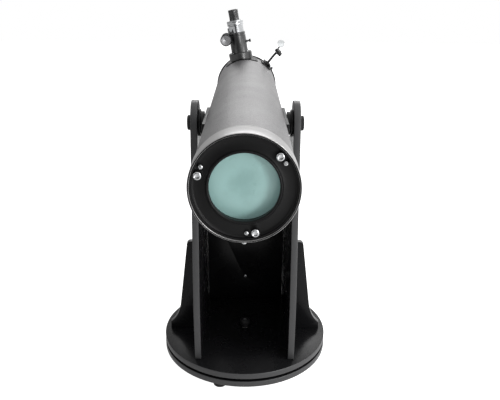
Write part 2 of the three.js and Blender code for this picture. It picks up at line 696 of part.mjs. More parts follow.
// ---------------------------------------------------------------- altitude bearings
// Each rail is hollowed to the tube's side, and its hub runs out from it to the panel.
function altitudeBearings(group) {
  const railOutside = tubeRadius + RAIL_THICKNESS;
  const tubeRoom = rod(2 * (tubeRadius + SLIP), -RAIL_LENGTH, RAIL_LENGTH, TUBE_SEGMENTS);
  const boltRadius = ALTITUDE_BOLT_DIAMETER / 2;
  for (const [side, sign] of [["left", -1], ["right", 1]]) {
    const place = new THREE.Group();
    place.position.y = BALANCE_LENGTH;
    if (sign < 0) place.rotation.z = Math.PI;
    group.add(place);

    const bar = block(
      [tubeRadius - RAIL_THICKNESS, -RAIL_LENGTH / 2, -RAIL_HEIGHT / 2],
      [railOutside, RAIL_LENGTH / 2, RAIL_HEIGHT / 2],
    );
    add(place, `${side}_altitude_rail`, cut(bar, tubeRoom), BLACK_PAINT);

    const hubInside = railOutside + SLIP;
    const hubOutside = panelInside - SLIP;
    const hub = turnedAcross(
      [
        [0, hubInside],
        [HUB_NECK_DIAMETER / 2, hubInside],
        [HUB_NECK_DIAMETER / 2, hubOutside - HUB_STEP],
        [HUB_DIAMETER / 2, hubOutside - HUB_STEP],
        [HUB_DIAMETER / 2, hubOutside],
        [boltRadius + THREAD, hubOutside],
        [boltRadius + THREAD, hubInside + HUB_END],
        [0, hubInside + HUB_END],
      ],
      KNOB_SEGMENTS,
    );
    add(place, `${side}_altitude_hub`, hub, BLACK_PLASTIC);

    const knobInside = panelOutside + SLIP;
    const knobOutside = knobInside + ALTITUDE_KNOB_THICKNESS;
    const rim = ALTITUDE_KNOB_DIAMETER / 2;
    const boltEnd = hubInside + HUB_END + SLIP;
    const knob = turnedAcross(
      [
        [0, boltEnd],
        [boltRadius, boltEnd],
        [boltRadius, knobInside],
        [rim, knobInside],
        [rim, knobOutside - CHAMFER],
        [rim - CHAMFER, knobOutside],
        [0, knobOutside],
      ],
      KNOB_SEGMENTS,
    );
    add(place, `${side}_altitude_knob`, knob, BLACK_PLASTIC);
  }
}

// ---------------------------------------------------------------- focuser
// Inside the focuser's group, Z runs out along its axis from the tube's axis.
function saddle() {
  const half = radians(SADDLE_ARC / 2);
  const inside = tubeRadius + SLIP;
  const outline = new THREE.Shape();
  outline.absarc(0, 0, saddleTop, Math.PI / 2 - half, Math.PI / 2 + half, false);
  outline.absarc(0, 0, inside, Math.PI / 2 + half, Math.PI / 2 - half, true);
  const plate = moved(board(outline, SADDLE_LENGTH, 0, X, Z), 0, SADDLE_LENGTH / 2, 0);
  return cut(plate, rodUp(lightHole, 0, barrelTop, KNOB_SEGMENTS));
}

function focuserBody() {
  const flange = rodUp(2 * flangeRadius, boreRadius - FLANGE_WIDTH, flangeTop, KNOB_SEGMENTS);
  const barrel = rodUp(2 * barrelRadius, flangeTop - BARREL_WALL, barrelTop, KNOB_SEGMENTS);
  const boxHalf = PINION_BOX_LENGTH / 2;
  const boxReach = PINION_RADIUS + PINION_BOX_WALL;
  const pinionBox = block(
    [-pinionOffset - boxReach, -boxHalf, pinionZ - boxReach],
    [-drawtubeRadius, boxHalf, pinionZ + boxReach],
  );
  const rackRoom = block(
    [-drawtubeRadius - RACK_THICKNESS - SLIP, -RACK_WIDTH / 2 - SLIP, 0],
    [0, RACK_WIDTH / 2 + SLIP, 2 * barrelTop],
  );
  const pinionHalf = PINION_LENGTH / 2 + SLIP;
  const pinionRoom = rod(2 * (PINION_RADIUS + SLIP), -pinionHalf, pinionHalf, KNOB_SEGMENTS);
  const shaftRoom = rod(FOCUS_SHAFT_DIAMETER + 2 * THREAD, -boxHalf - BITE, boxHalf + BITE, SCREW_SEGMENTS);
  const lockHole = rodAcross(SMALL_SCREW_DIAMETER + 2 * THREAD, 0, 2 * flangeRadius, SCREW_SEGMENTS);
  const tensionHole = rodUp(SMALL_SCREW_DIAMETER + 2 * THREAD, pinionZ, 2 * barrelTop, SCREW_SEGMENTS);
  return cut(
    join(flange, barrel, pinionBox),
    rod(2 * (saddleTop + SLIP), -2 * flangeRadius, 2 * flangeRadius, TUBE_SEGMENTS),
    rodUp(2 * (drawtubeRadius + SLIP), 0, 2 * barrelTop, KNOB_SEGMENTS),
    rackRoom,
    moved(pinionRoom, -pinionOffset, 0, pinionZ),
    moved(shaftRoom, -pinionOffset, 0, pinionZ),
    moved(lockHole, 0, 0, lockZ),
    moved(tensionHole, -pinionOffset, 0, 0),
  );
}

function drawtube() {
  const bottom = tubeRadius + DRAWTUBE_RISE;
  const bore = drawtubeRadius - DRAWTUBE_WALL;
  const grip = EYEPIECE_BARREL / 2 + THREAD;
  const step = collarTop - EYEPIECE_INSERT - SLIP;
  const sleeve = turnedUp(
    [
      [drawtubeRadius, bottom],
      [drawtubeRadius, collarBottom],
      [collarRadius, collarBottom + CHAMFER],
      [collarRadius, collarTop - CHAMFER],
      [collarRadius - CHAMFER, collarTop],
      [grip, collarTop],
      [grip, step],
      [grip - STOP_LEDGE, step],
      [grip - STOP_LEDGE, step - STOP_LEDGE],
      [bore, step - STOP_LEDGE],
      [bore, bottom],
    ],
    KNOB_SEGMENTS,
  );
  const rack = block(
    [-drawtubeRadius - RACK_THICKNESS, -RACK_WIDTH / 2, bottom + RACK_END],
    [BITE - drawtubeRadius, RACK_WIDTH / 2, collarBottom - RACK_END],
  );
  const setScrewHole = rod(SMALL_SCREW_DIAMETER + 2 * THREAD, -2 * collarRadius, 0, SCREW_SEGMENTS);
  return cut(join(sleeve, rack), moved(setScrewHole, 0, 0, collarBottom + COLLAR_HEIGHT / 2));
}

function eyepiece() {
  const grip = EYEPIECE_BARREL / 2;
  const body = EYEPIECE_DIAMETER / 2;
  const top = collarTop + EYEPIECE_HEIGHT;
  return turnedUp(
    [
      [0, collarTop - EYEPIECE_INSERT],
      [grip, collarTop - EYEPIECE_INSERT],
      [grip, collarTop],
      [body, collarTop + CHAMFER],
      [body, top - CHAMFER],
      [body - CHAMFER, top],
      [EYE_LENS / 2 + EYE_CONE, top],
      [EYE_LENS / 2, top - EYE_CONE],
      [0, top - EYE_CONE],
    ],
    KNOB_SEGMENTS,
  );
}

// A thumbscrew along Y: a collar, a thin neck and a flared head, with its shank ahead of it.
function thumbscrew(shankLength) {
  const shank = SMALL_SCREW_DIAMETER / 2;
  const head = THUMB_DIAMETER / 2;
  const tip = -THUMB_COLLAR - THUMB_LENGTH - CHAMFER;
  return turned(
    [
      [0, tip],
      [head, tip],
      [head, tip + THUMB_RIM],
      [shank, -2 * THUMB_COLLAR],
      [shank, -THUMB_COLLAR],
      [shank + THUMB_COLLAR_WIDTH, -THUMB_COLLAR],
      [shank + THUMB_COLLAR_WIDTH, 0],
      [shank, 0],
      [shank, shankLength],
      [0, shankLength],
    ],
    SCREW_SEGMENTS,
  );
}

function focuser(group) {
  add(group, "focuser_saddle", saddle(), BLACK_PAINT);
  add(group, "focuser_body", focuserBody(), BLACK_PAINT);
  add(group, "drawtube", drawtube(), CHROME);
  add(group, "eyepiece", eyepiece(), BLACK_PLASTIC);

  const knobStart = PINION_BOX_LENGTH / 2 + FOCUS_KNOB_GAP;
  const shaftEnd = knobStart + FOCUS_KNOB_THICKNESS / 2;
  const shaft = FOCUS_SHAFT_DIAMETER / 2;
  const pinionHalf = PINION_LENGTH / 2;
  const axle = turned(
    [
      [0, -shaftEnd],
      [shaft, -shaftEnd],
      [shaft, -pinionHalf],
      [PINION_RADIUS, -pinionHalf],
      [PINION_RADIUS, pinionHalf],
      [shaft, pinionHalf],
      [shaft, shaftEnd],
      [0, shaftEnd],
    ],
    KNOB_SEGMENTS,
  );
  add(group, "focus_shaft", moved(axle, -pinionOffset, 0, pinionZ), STEEL);
  for (const [end, sign] of [["rear", -1], ["front", 1]]) {
    const rim = FOCUS_KNOB_DIAMETER / 2;
    const knobEnd = knobStart + FOCUS_KNOB_THICKNESS;
    const knob = turned(
      [
        [shaft + THREAD, knobStart],
        [rim - FOCUS_KNOB_BEVEL, knobStart],
        [rim, knobStart + FOCUS_KNOB_BEVEL],
        [rim, knobEnd - CHAMFER],
        [rim - CHAMFER, knobEnd],
        [0, knobEnd],
        [0, shaftEnd + SLIP],
        [shaft + THREAD, shaftEnd + SLIP],
      ],
      KNOB_SEGMENTS,
    );
    if (sign < 0) knob.rotateX(Math.PI);
    add(group, `focus_knob_${end}`, moved(knob, -pinionOffset, 0, pinionZ), BLACK_PLASTIC);
  }

  const lock = thumbscrew(BARREL_WALL + SLIP).rotateZ(Math.PI / 2);
  add(group, "focus_lock_screw", moved(lock, barrelRadius + SLIP, 0, lockZ), BLACK_PLASTIC);

  const boxTop = pinionZ + PINION_RADIUS + PINION_BOX_WALL;
  const tensionReach = PINION_BOX_WALL - SLIP;
  const tension = headed(TENSION_HEAD, TENSION_HEAD, SMALL_SCREW_DIAMETER, tensionReach, SCREW_SEGMENTS);
  tension.rotateX(-Math.PI / 2);
  add(group, "focus_tension_screw", moved(tension, -pinionOffset, 0, boxTop + SLIP), BLACK_PLASTIC);

  const collarWall = collarRadius - EYEPIECE_BARREL / 2 - SLIP;
  const setScrew = headed(
    SET_SCREW_HEAD,
    SET_SCREW_HEAD_HEIGHT,
    SMALL_SCREW_DIAMETER,
    collarWall,
    SCREW_SEGMENTS,
  );
  const setScrewZ = collarBottom + COLLAR_HEIGHT / 2;
  add(group, "eyepiece_set_screw", moved(setScrew, 0, -collarRadius - SLIP, setScrewZ), STEEL);
}

// ---------------------------------------------------------------- spider and secondary mirror
// The secondary faces back down the tube and out along the focuser's axis, at 45 degrees to both.
function slanted(low, high, diameter) {
  const wide = 2 * diameter;
  const slab = block([-wide, -wide, low], [wide, wide, high]);
  return solid(slab.rotateX(Math.PI / 4));
}

function secondary(group) {
  const half = SECONDARY_DIAMETER / 2;
  const long = 2 * SECONDARY_DIAMETER;
  const glassRod = solid(rod(SECONDARY_DIAMETER, -long, long, KNOB_SEGMENTS));
  // Slab heights are measured square to the mirror, ahead of its face.
  const glass = glassRod.intersect(slanted(-SECONDARY_THICKNESS, 0, SECONDARY_DIAMETER));
  add(group, "secondary_mirror", geometryOf(glass), MIRROR);

  const holderEnd = half + HOLDER_LENGTH;
  const cylinder = solid(rod(SECONDARY_DIAMETER - HOLDER_MARGIN, -long, holderEnd, KNOB_SEGMENTS));
  const back = -SECONDARY_THICKNESS - SLIP;
  const wedge = cylinder.intersect(slanted(-2 * long, back, long));
  const hubStart = holderEnd + HOLDER_GAP;
  const hubEnd = hubStart + SPIDER_HUB_LENGTH;
  const stem = solid(rod(HOLDER_STEM_DIAMETER, holderEnd - BITE, hubEnd + STEM_END, SCREW_SEGMENTS));
  add(group, "secondary_holder", geometryOf(wedge.add(stem)), BLACK_PAINT);

  const hub = rod(SPIDER_HUB_DIAMETER, hubStart, hubEnd, KNOB_SEGMENTS);
  const reach = boreRadius - VANE_GAP;
  const vanes = [0, 120, 240].map((turn) => {
    const vane = block([0, hubStart, -VANE_THICKNESS / 2], [reach, hubEnd, VANE_THICKNESS / 2]);
    return vane.rotateY(radians(turn + FIRST_VANE_ANGLE));
  });
  const stemHole = rod(HOLDER_STEM_DIAMETER + 2 * SLIP, hubStart - BITE, hubEnd + BITE, SCREW_SEGMENTS);
  add(group, "spider", cut(join(hub, ...vanes), stemHole), BLACK_PAINT);
}

// ---------------------------------------------------------------- finder
// Inside the finder's group, Z runs out from the tube's axis through the finder.
function finder(group) {
  const shoeBottom = tubeRadius + SLIP;
  const shoeFloor = shoeBottom + FINDER_SHOE_FLOOR;
  const shoeTop = shoeFloor + DOVETAIL_HEIGHT;
  const shoeHalf = FINDER_SHOE_LENGTH / 2;
  const jawInside = DOVETAIL_WIDTH / 2 + SLIP;
  const plate = block(
    [-FINDER_SHOE_WIDTH / 2, -shoeHalf, shoeBottom - SHOE_JAW],
    [FINDER_SHOE_WIDTH / 2, shoeHalf, shoeFloor],
  );
  const jaws = [-1, 1].map((sign) => {
    const near = sign * jawInside;
    const far = sign * (jawInside + SHOE_JAW);
    return block(
      [Math.min(near, far), -shoeHalf, shoeFloor - BITE],
      [Math.max(near, far), shoeHalf, shoeTop],
    );
  });
  const tubeRoom = rod(2 * shoeBottom, -2 * shoeHalf, 2 * shoeHalf, TUBE_SEGMENTS);
  const screwZ = (shoeFloor + shoeTop) / 2;
  const clampHole = rodAcross(SMALL_SCREW_DIAMETER + 2 * THREAD, 0, FINDER_SHOE_WIDTH, SCREW_SEGMENTS);
  moved(clampHole, 0, 0, screwZ);
  add(group, "finder_shoe", cut(join(plate, ...jaws), tubeRoom, clampHole), BLACK_PAINT);

  // Foot, stalk, body and the window's hoop are one moulding.
  const stalk = FINDER_STALK_THICKNESS / 2;
  const stalkHalf = FINDER_STALK_LENGTH / 2;
  const footTop = shoeTop + DOVETAIL_PROUD;
  const bodyHalf = FINDER_BODY_LENGTH / 2;
  const bodyLeft = FINDER_BODY_SHIFT - FINDER_BODY_WIDTH / 2;
  const bodyRight = FINDER_BODY_SHIFT + FINDER_BODY_WIDTH / 2;
  const bodyBottom = tubeRadius + FINDER_BODY_RISE;
  const bodyTop = bodyBottom + FINDER_BODY_HEIGHT;
  const windowZ = tubeRadius + WINDOW_RISE;
  const hoopOutside = WINDOW_DIAMETER / 2 + WINDOW_RIM;
  const hoopStart = bodyHalf - WINDOW_DEPTH;
  const hoop = moved(rod(2 * hoopOutside, hoopStart, bodyHalf, KNOB_SEGMENTS), WINDOW_SHIFT, 0, windowZ);
  const hoopNeck = block(
    [bodyLeft, hoopStart, bodyTop - BITE],
    [bodyLeft + HOOP_NECK_WIDTH, bodyHalf, windowZ],
  );
  const windowRoom = rod(WINDOW_DIAMETER, hoopStart - BITE, bodyHalf + BITE, KNOB_SEGMENTS);
  moved(windowRoom, WINDOW_SHIFT, 0, windowZ);
  const body = cut(
    join(
      block([-DOVETAIL_WIDTH / 2, -stalkHalf, shoeFloor + SLIP], [DOVETAIL_WIDTH / 2, stalkHalf, footTop]),
      block([-stalk, -stalkHalf, footTop - BITE], [stalk, stalkHalf, bodyBottom + BITE]),
      block([bodyLeft, -bodyHalf, bodyBottom], [bodyRight, bodyHalf, bodyTop]),
      hoop,
      hoopNeck,
    ),
    windowRoom,
  );
  add(group, "finder_body", body, BLACK_PLASTIC);

  const glassAt = (hoopStart + bodyHalf - WINDOW_GLASS) / 2;
  const glass = rod(WINDOW_DIAMETER - 2 * SLIP, glassAt, glassAt + WINDOW_GLASS, KNOB_SEGMENTS);
  add(group, "finder_window", moved(glass, WINDOW_SHIFT, 0, windowZ), CLEAR);

  const knobZ = bodyBottom + FINDER_BODY_HEIGHT / 2 + FINDER_KNOB_RISE;
  const knob = headed(FINDER_KNOB_DIAMETER, FINDER_KNOB_LENGTH, 0, 0, SCREW_SEGMENTS).rotateZ(-Math.PI / 2);
  add(group, "finder_knob", moved(knob, bodyLeft - SLIP, -bodyHalf / 2, knobZ), BLACK_PLASTIC);

  const clampReach = SHOE_JAW - SLIP;
  const clamp = thumbscrew(clampReach).rotateZ(Math.PI / 2);
  add(group, "finder_clamp_screw", moved(clamp, jawInside + SHOE_JAW + SLIP, 0, screwZ), CHROME);
}

// ---------------------------------------------------------------- the whole telescope
const telescope = new THREE.Group();
groundAssembly(telescope);
rockerAssembly(telescope);
azimuthNut(telescope);

const tube = new THREE.Group();
tube.position.set(0, pivotY - BALANCE_LENGTH, pivotZ);
telescope.add(tube);
tubeAssembly(tube);
mirrorCell(tube);
altitudeBearings(tube);

const focuserPlace = new THREE.Group();
focuserPlace.position.y = focuserAt;
focuserPlace.rotation.y = -radians(FOCUSER_LEAN);
tube.add(focuserPlace);
focuser(focuserPlace);
secondary(focuserPlace);

const finderPlace = new THREE.Group();
finderPlace.position.y = TUBE_LENGTH - FINDER_FROM_FRONT;
finderPlace.rotation.y = radians(FINDER_ANGLE);
tube.add(finderPlace);
finder(finderPlace);

export default telescope;
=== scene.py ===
# %% [markdown]
# # A Dobsonian telescope, dressed for a studio picture
# The working model comes ready made as a fixed frame: every board, ring, screw and bearing at its
# real size, with its joints. These cells give it fine surfaces. A piece whose shape is already right
# only gets a finish, and a piece that needs rounder edges or finer parts is modelled again at the
# same place and takes the plain one's place.

# %% Load the frame
import math

import bpy
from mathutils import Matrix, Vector


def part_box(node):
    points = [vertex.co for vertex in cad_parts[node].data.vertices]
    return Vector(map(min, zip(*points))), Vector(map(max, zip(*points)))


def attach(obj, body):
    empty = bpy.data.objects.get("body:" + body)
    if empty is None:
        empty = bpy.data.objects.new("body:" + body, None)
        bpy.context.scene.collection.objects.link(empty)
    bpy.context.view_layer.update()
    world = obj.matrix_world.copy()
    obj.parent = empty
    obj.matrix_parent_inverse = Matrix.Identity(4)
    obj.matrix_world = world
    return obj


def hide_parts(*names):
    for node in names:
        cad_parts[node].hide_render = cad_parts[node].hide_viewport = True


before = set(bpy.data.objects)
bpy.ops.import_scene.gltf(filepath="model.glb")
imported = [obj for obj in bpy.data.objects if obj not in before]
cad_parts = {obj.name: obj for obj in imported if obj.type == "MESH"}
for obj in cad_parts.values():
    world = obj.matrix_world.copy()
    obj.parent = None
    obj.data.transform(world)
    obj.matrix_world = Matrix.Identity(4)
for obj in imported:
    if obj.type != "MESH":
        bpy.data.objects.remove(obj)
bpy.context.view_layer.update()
MM = 0.001
SLIP = 0.3 * MM  # room between pieces that fit together
SCREW_HOLE = 2.25 * MM

# %% [markdown]
# ## Places
# Everything is placed from the frame. The tube lies along Y, so its axis is the middle of its rear
# ring, and the boards give the floors that the other pieces stand on. Lengths are in metres, and
# small ones are written in millimetres times MM.

# %% Measure the frame
def middle(node):
    low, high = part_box(node)
    return (low + high) / 2


def radius(node, side="x"):
    low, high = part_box(node)
    return (getattr(high, side) - getattr(low, side)) / 2


AXIS_Z = middle("rear_ring").z
REAR_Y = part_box("rear_ring")[0].y
FRONT_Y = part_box("front_ring")[1].y
TUBE_RADIUS = radius("main_tube")
TUBE_STEPS = 200
ROCKER_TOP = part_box("rocker_board")[1].z
PIVOT = Vector((0, middle("left_altitude_hub").y, AXIS_Z))
FOCUSER = Vector((0, middle("focus_shaft").y, AXIS_Z))
FINDER = Vector((0, middle("finder_shoe").y, AXIS_Z))
FOCUSER_LEAN = math.radians(-10.4)
FINDER_LEAN = math.radians(40)
print("tube axis", round(AXIS_Z, 4), "m up, radius", round(TUBE_RADIUS, 4))

# %% [markdown]
# ## Camera
# The camera comes first, because every look is judged through it. It stands behind the mirror end,
# a little above the tube, and looks down along it. A short lens close by makes the far end of the
# tube shrink as strongly as it should. The small shift levels the framing without tilting the view.

# %% Camera
CAMERA_AT = (0.005, -1.420, 0.9538)
CAMERA_PITCH = math.radians(23.35)
CAMERA_ROLL = math.radians(-0.37)
CAMERA_LENS = 42.14
CAMERA_SENSOR = 36
CAMERA_SHIFT = (0.0027, 0.0695)

camera_data = bpy.data.cameras.new("camera")
camera_data.lens = CAMERA_LENS
camera_data.sensor_width = CAMERA_SENSOR
camera_data.shift_x, camera_data.shift_y = CAMERA_SHIFT
camera = bpy.data.objects.new("camera", camera_data)
bpy.context.scene.collection.objects.link(camera)
camera.location = CAMERA_AT
camera.rotation_euler = (math.radians(90) - CAMERA_PITCH, CAMERA_ROLL, 0)
bpy.context.scene.camera = camera
print("camera at", CAMERA_AT)

# %% [markdown]
# ## Floor and light
# The telescope stands in a white studio. The floor is one pale sheet that glows as painted light,
# dim on the left and brighter on the right, and looks white to the camera; the sky is an even white.
# A large soft lamp up on the right is the key light: it gives the tube its brighter right side. A
# weaker one on the left keeps the black boards readable, and a strip behind draws their edges.

# %% Floor
def deselect():
    if bpy.context.mode != "OBJECT":
        bpy.ops.object.mode_set(mode="OBJECT")
    bpy.ops.object.select_all(action="DESELECT")


def colour_shader(material, colour, roughness):
    shader = material.node_tree.nodes["Principled BSDF"]
    shader.inputs["Base Color"].default_value = (*colour, 1)
    shader.inputs["Roughness"].default_value = roughness
    return shader


# Painted light on the floor: it glows, dim on its left and brighter on its right under the key lamp, and
# camera rays see extra glow on top, so it looks white.
FLOOR_HALF = 9
FLOOR_GREY = (0.5, 0.5, 0.5)
FLOOR_REACH = 0.5
FLOOR_SHADED_SIDE_GLOW = 0.04
FLOOR_LIT_SIDE_GLOW = 0.55
FLOOR_SEEN_GLOW = 0.8
deselect()
bpy.ops.mesh.primitive_plane_add(size=2 * FLOOR_HALF, location=(0, 0, 0))
floor = bpy.context.object
floor.name = "studio_floor"
floor_paint = bpy.data.materials.new("studio_floor_painted_light")
floor_paint.use_nodes = True
floor_shader = colour_shader(floor_paint, FLOOR_GREY, 0.9)
floor_shader.inputs["Emission Color"].default_value = (1, 1, 1, 1)
floor_tree = floor_paint.node_tree
spot = floor_tree.nodes.new("ShaderNodeTexCoord")
across = floor_tree.nodes.new("ShaderNodeSeparateXYZ")
# The floor's painted light grows across X, from the shaded left side to the lit right side.
painted_floor_light = floor_tree.nodes.new("ShaderNodeMapRange")
painted_floor_light.inputs["From Min"].default_value = -FLOOR_REACH
painted_floor_light.inputs["From Max"].default_value = FLOOR_REACH
painted_floor_light.inputs["To Min"].default_value = FLOOR_SHADED_SIDE_GLOW
painted_floor_light.inputs["To Max"].default_value = FLOOR_LIT_SIDE_GLOW
looked_at = floor_tree.nodes.new("ShaderNodeLightPath")
seen_white_and_painted_light = floor_tree.nodes.new("ShaderNodeMath")
seen_white_and_painted_light.operation = "MULTIPLY_ADD"
seen_white_and_painted_light.inputs[1].default_value = FLOOR_SEEN_GLOW
floor_tree.links.new(spot.outputs["Object"], across.inputs["Vector"])
floor_tree.links.new(across.outputs["X"], painted_floor_light.inputs["Value"])
floor_tree.links.new(looked_at.outputs["Is Camera Ray"], seen_white_and_painted_light.inputs[0])
floor_tree.links.new(painted_floor_light.outputs["Result"], seen_white_and_painted_light.inputs[2])
floor_tree.links.new(seen_white_and_painted_light.outputs["Value"], floor_shader.inputs["Emission Strength"])
floor.data.materials.append(floor_paint)

# %% Lights
def soft_lamp(name, place, target, size, power):
    lamp = bpy.data.lights.new(name, "AREA")
    lamp.shape = "RECTANGLE"
    lamp.size, lamp.size_y = size
    lamp.energy = power
    holder = bpy.data.objects.new(name, lamp)
    bpy.context.scene.collection.objects.link(holder)
    holder.location = place
    holder.rotation_euler = (Vector(target) - Vector(place)).to_track_quat("-Z", "Y").to_euler()


# Each lamp has its place, what it aims at, its size and its power in watts.
LAMPS = {
    "key_light": ((2.3, -0.9, 2.4), (0, 0, 0.6), (1.4, 1.4), 40),
    "fill_light": ((-2.6, -1.2, 1.6), (0, 0, 0.5), (1.8, 1.8), 10),
    "front_light": ((2.2, -2.9, 0.7), (0, -0.5, 0.55), (0.9, 0.9), 34),
    "edge_light": ((0.3, 2.8, 2.2), (0, 0.3, 0.7), (2.4, 0.8), 20),
}
for name, settings in LAMPS.items():
    soft_lamp(name, *settings)

SKY_BRIGHT_SIDE = (0.72, 0.3, 0.62)
SKY_FROM = -0.35
SKY_TO = 0.75
SKY_DARK = 0.12
SKY_BRIGHT = 1.1
world = bpy.data.worlds.new("studio")
bpy.context.scene.world = world
world.use_nodes = True
sky = world.node_tree
sky.nodes["Background"].inputs["Color"].default_value = (1, 1, 1, 1)
aim = sky.nodes.new("ShaderNodeTexCoord")
slope = sky.nodes.new("ShaderNodeVectorMath")
slope.operation = "DOT_PRODUCT"
slope.inputs[1].default_value = SKY_BRIGHT_SIDE
fade = sky.nodes.new("ShaderNodeMapRange")
fade.inputs["From Min"].default_value = SKY_FROM
fade.inputs["From Max"].default_value = SKY_TO
fade.inputs["To Min"].default_value = SKY_DARK
fade.inputs["To Max"].default_value = SKY_BRIGHT
seen = sky.nodes.new("ShaderNodeLightPath")
either = sky.nodes.new("ShaderNodeMath")
either.operation = "MAXIMUM"
sky.links.new(aim.outputs["Generated"], slope.inputs[0])
sky.links.new(slope.outputs["Value"], fade.inputs["Value"])
sky.links.new(fade.outputs["Result"], either.inputs[0])
sky.links.new(seen.outputs["Is Camera Ray"], either.inputs[1])
sky.links.new(either.outputs["Value"], sky.nodes["Background"].inputs["Strength"])
bpy.context.scene.view_settings.view_transform = "Standard"

# %% [markdown]
# ## Shared effects
# Three effects come back in many finishes, so each is one node group with named sockets. Grain is a
# fine noise for bumps and speckle. Handling is a broad, slow noise that makes a gloss uneven, as
# hands and polishing do. Wear finds the sharp edges of a mesh from how pointed they are, and breaks
# them up with noise, so that paint looks rubbed there. Every pattern reads Object coordinates, which
# are metres here, so a scale of 1000 means features a millimetre across.

# %% Node groups
def new_group(name, numbers, outputs):
    group = bpy.data.node_groups.new(name, "ShaderNodeTree")
    for label, value in numbers:
        socket = group.interface.new_socket(label, in_out="INPUT", socket_type="NodeSocketFloat")
        socket.default_value = value
    for label in outputs:
        group.interface.new_socket(label, in_out="OUTPUT", socket_type="NodeSocketFloat")
    entry = group.nodes.new("NodeGroupInput")
    leave = group.nodes.new("NodeGroupOutput")
    return group, entry, leave


def new_node(tree, kind, settings=None, values=None):
    node = tree.nodes.new(kind)
    for key, value in (settings or {}).items():
        setattr(node, key, value)
    for key, value in (values or {}).items():
        node.inputs[key].default_value = value
    return node


def object_noise(group, scale_socket, detail):
    place = new_node(group, "ShaderNodeTexCoord")
    noise = new_node(group, "ShaderNodeTexNoise", values={"Detail": detail, "Roughness": 0.55})
    group.links.new(place.outputs["Object"], noise.inputs["Vector"])
    group.links.new(scale_socket, noise.inputs["Scale"])
    return noise.outputs["Fac"]


def spread(group, value, low, high):
    """Stretches a noise's middle to the full range from low to high."""
    reach = new_node(group, "ShaderNodeMapRange", values={"From Min": 0.3, "From Max": 0.7})
    group.links.new(value, reach.inputs["Value"])
    group.links.new(low, reach.inputs["To Min"])
    group.links.new(high, reach.inputs["To Max"])
    return reach.outputs["Result"]


grain, entry, leave = new_group("grain", [("Scale", 1500), ("Low", 0), ("High", 1)], ["Value"])
speckle = object_noise(grain, entry.outputs["Scale"], 3)
grain.links.new(spread(grain, speckle, entry.outputs["Low"], entry.outputs["High"]), leave.inputs["Value"])

handling, entry, leave = new_group("handling", [("Scale", 14), ("Low", 0.3), ("High", 0.5)], ["Roughness"])
cloud = object_noise(handling, entry.outputs["Scale"], 5)
handling.links.new(
    spread(handling, cloud, entry.outputs["Low"], entry.outputs["High"]), leave.inputs["Roughness"]
)

wear, entry, leave = new_group("wear", [("Scale", 300), ("Amount", 0.5)], ["Mask"])
shape = new_node(wear, "ShaderNodeNewGeometry")
sharp = new_node(wear, "ShaderNodeMapRange", values={"From Min": 0.52, "From Max": 0.62})
wear.links.new(shape.outputs["Pointiness"], sharp.inputs["Value"])
chips = object_noise(wear, entry.outputs["Scale"], 4)
broken = new_node(wear, "ShaderNodeMath", {"operation": "MULTIPLY"})
wear.links.new(sharp.outputs["Result"], broken.inputs[0])
wear.links.new(chips, broken.inputs[1])
scaled = new_node(wear, "ShaderNodeMath", {"operation": "MULTIPLY"})
wear.links.new(broken.outputs["Value"], scaled.inputs[0])
wear.links.new(entry.outputs["Amount"], scaled.inputs[1])
wear.links.new(scaled.outputs["Value"], leave.inputs["Mask"])
print("groups:", [g.name for g in bpy.data.node_groups])

# %% [markdown]
# ## Finishes
# One maker builds every finish: a Principled shader, with a group for the broken colour, one for
# the uneven gloss, and a bump for the fine relief. Numbers that are the same all over are set on the
# shader's own sockets. What makes each finish different is its colour pair, the size of its grain
# and how strongly it stands up.

# %% Finish maker
def use_group(tree, group, **values):
    node = tree.nodes.new("ShaderNodeGroup")
    node.node_tree = group
    for key, value in values.items():
        node.inputs[key].default_value = value
    return node


def mix_colours(tree, mask, first, second):
    mix = tree.nodes.new("ShaderNodeMix")
    mix.data_type = "RGBA"
    tree.links.new(mask, mix.inputs["Factor"])
    for socket, colour in ((mix.inputs[6], first), (mix.inputs[7], second)):
        if isinstance(colour, tuple):
            socket.default_value = (*colour, 1)
        else:
            tree.links.new(colour, socket)
    return mix.outputs[2]


def new_material(name):
    material = bpy.data.materials.new(name)
    material.use_nodes = True
    return material, material.node_tree, material.node_tree.nodes["Principled BSDF"]


def finish(name, dark, light, metal=0.0, gloss=(0.3, 0.5), grain_scale=1500.0, relief=0.1, depth=0.0001,
           coat=0.0, worn=None, worn_amount=0.0, shine=0.5):
    material, tree, shader = new_material(name)
    shader.inputs["Metallic"].default_value = metal
    shader.inputs["Specular IOR Level"].default_value = shine
    shader.inputs["Coat Weight"].default_value = coat
    shader.inputs["Coat Roughness"].default_value = 0.12
    speckle = use_group(tree, grain, Scale=grain_scale, Low=0, High=1)
    colour = mix_colours(tree, speckle.outputs["Value"], dark, light)
    if worn:
        rubbed = use_group(tree, wear, Scale=400, Amount=worn_amount)
        colour = mix_colours(tree, rubbed.outputs["Mask"], colour, worn)
    tree.links.new(colour, shader.inputs["Base Color"])
    uneven = use_group(tree, handling, Scale=14, Low=gloss[0], High=gloss[1])
    tree.links.new(uneven.outputs["Roughness"], shader.inputs["Roughness"])
    bump = new_node(tree, "ShaderNodeBump", values={"Strength": relief, "Distance": depth})
    tree.links.new(speckle.outputs["Value"], bump.inputs["Height"])
    tree.links.new(bump.outputs["Normal"], shader.inputs["Normal"])
    return material


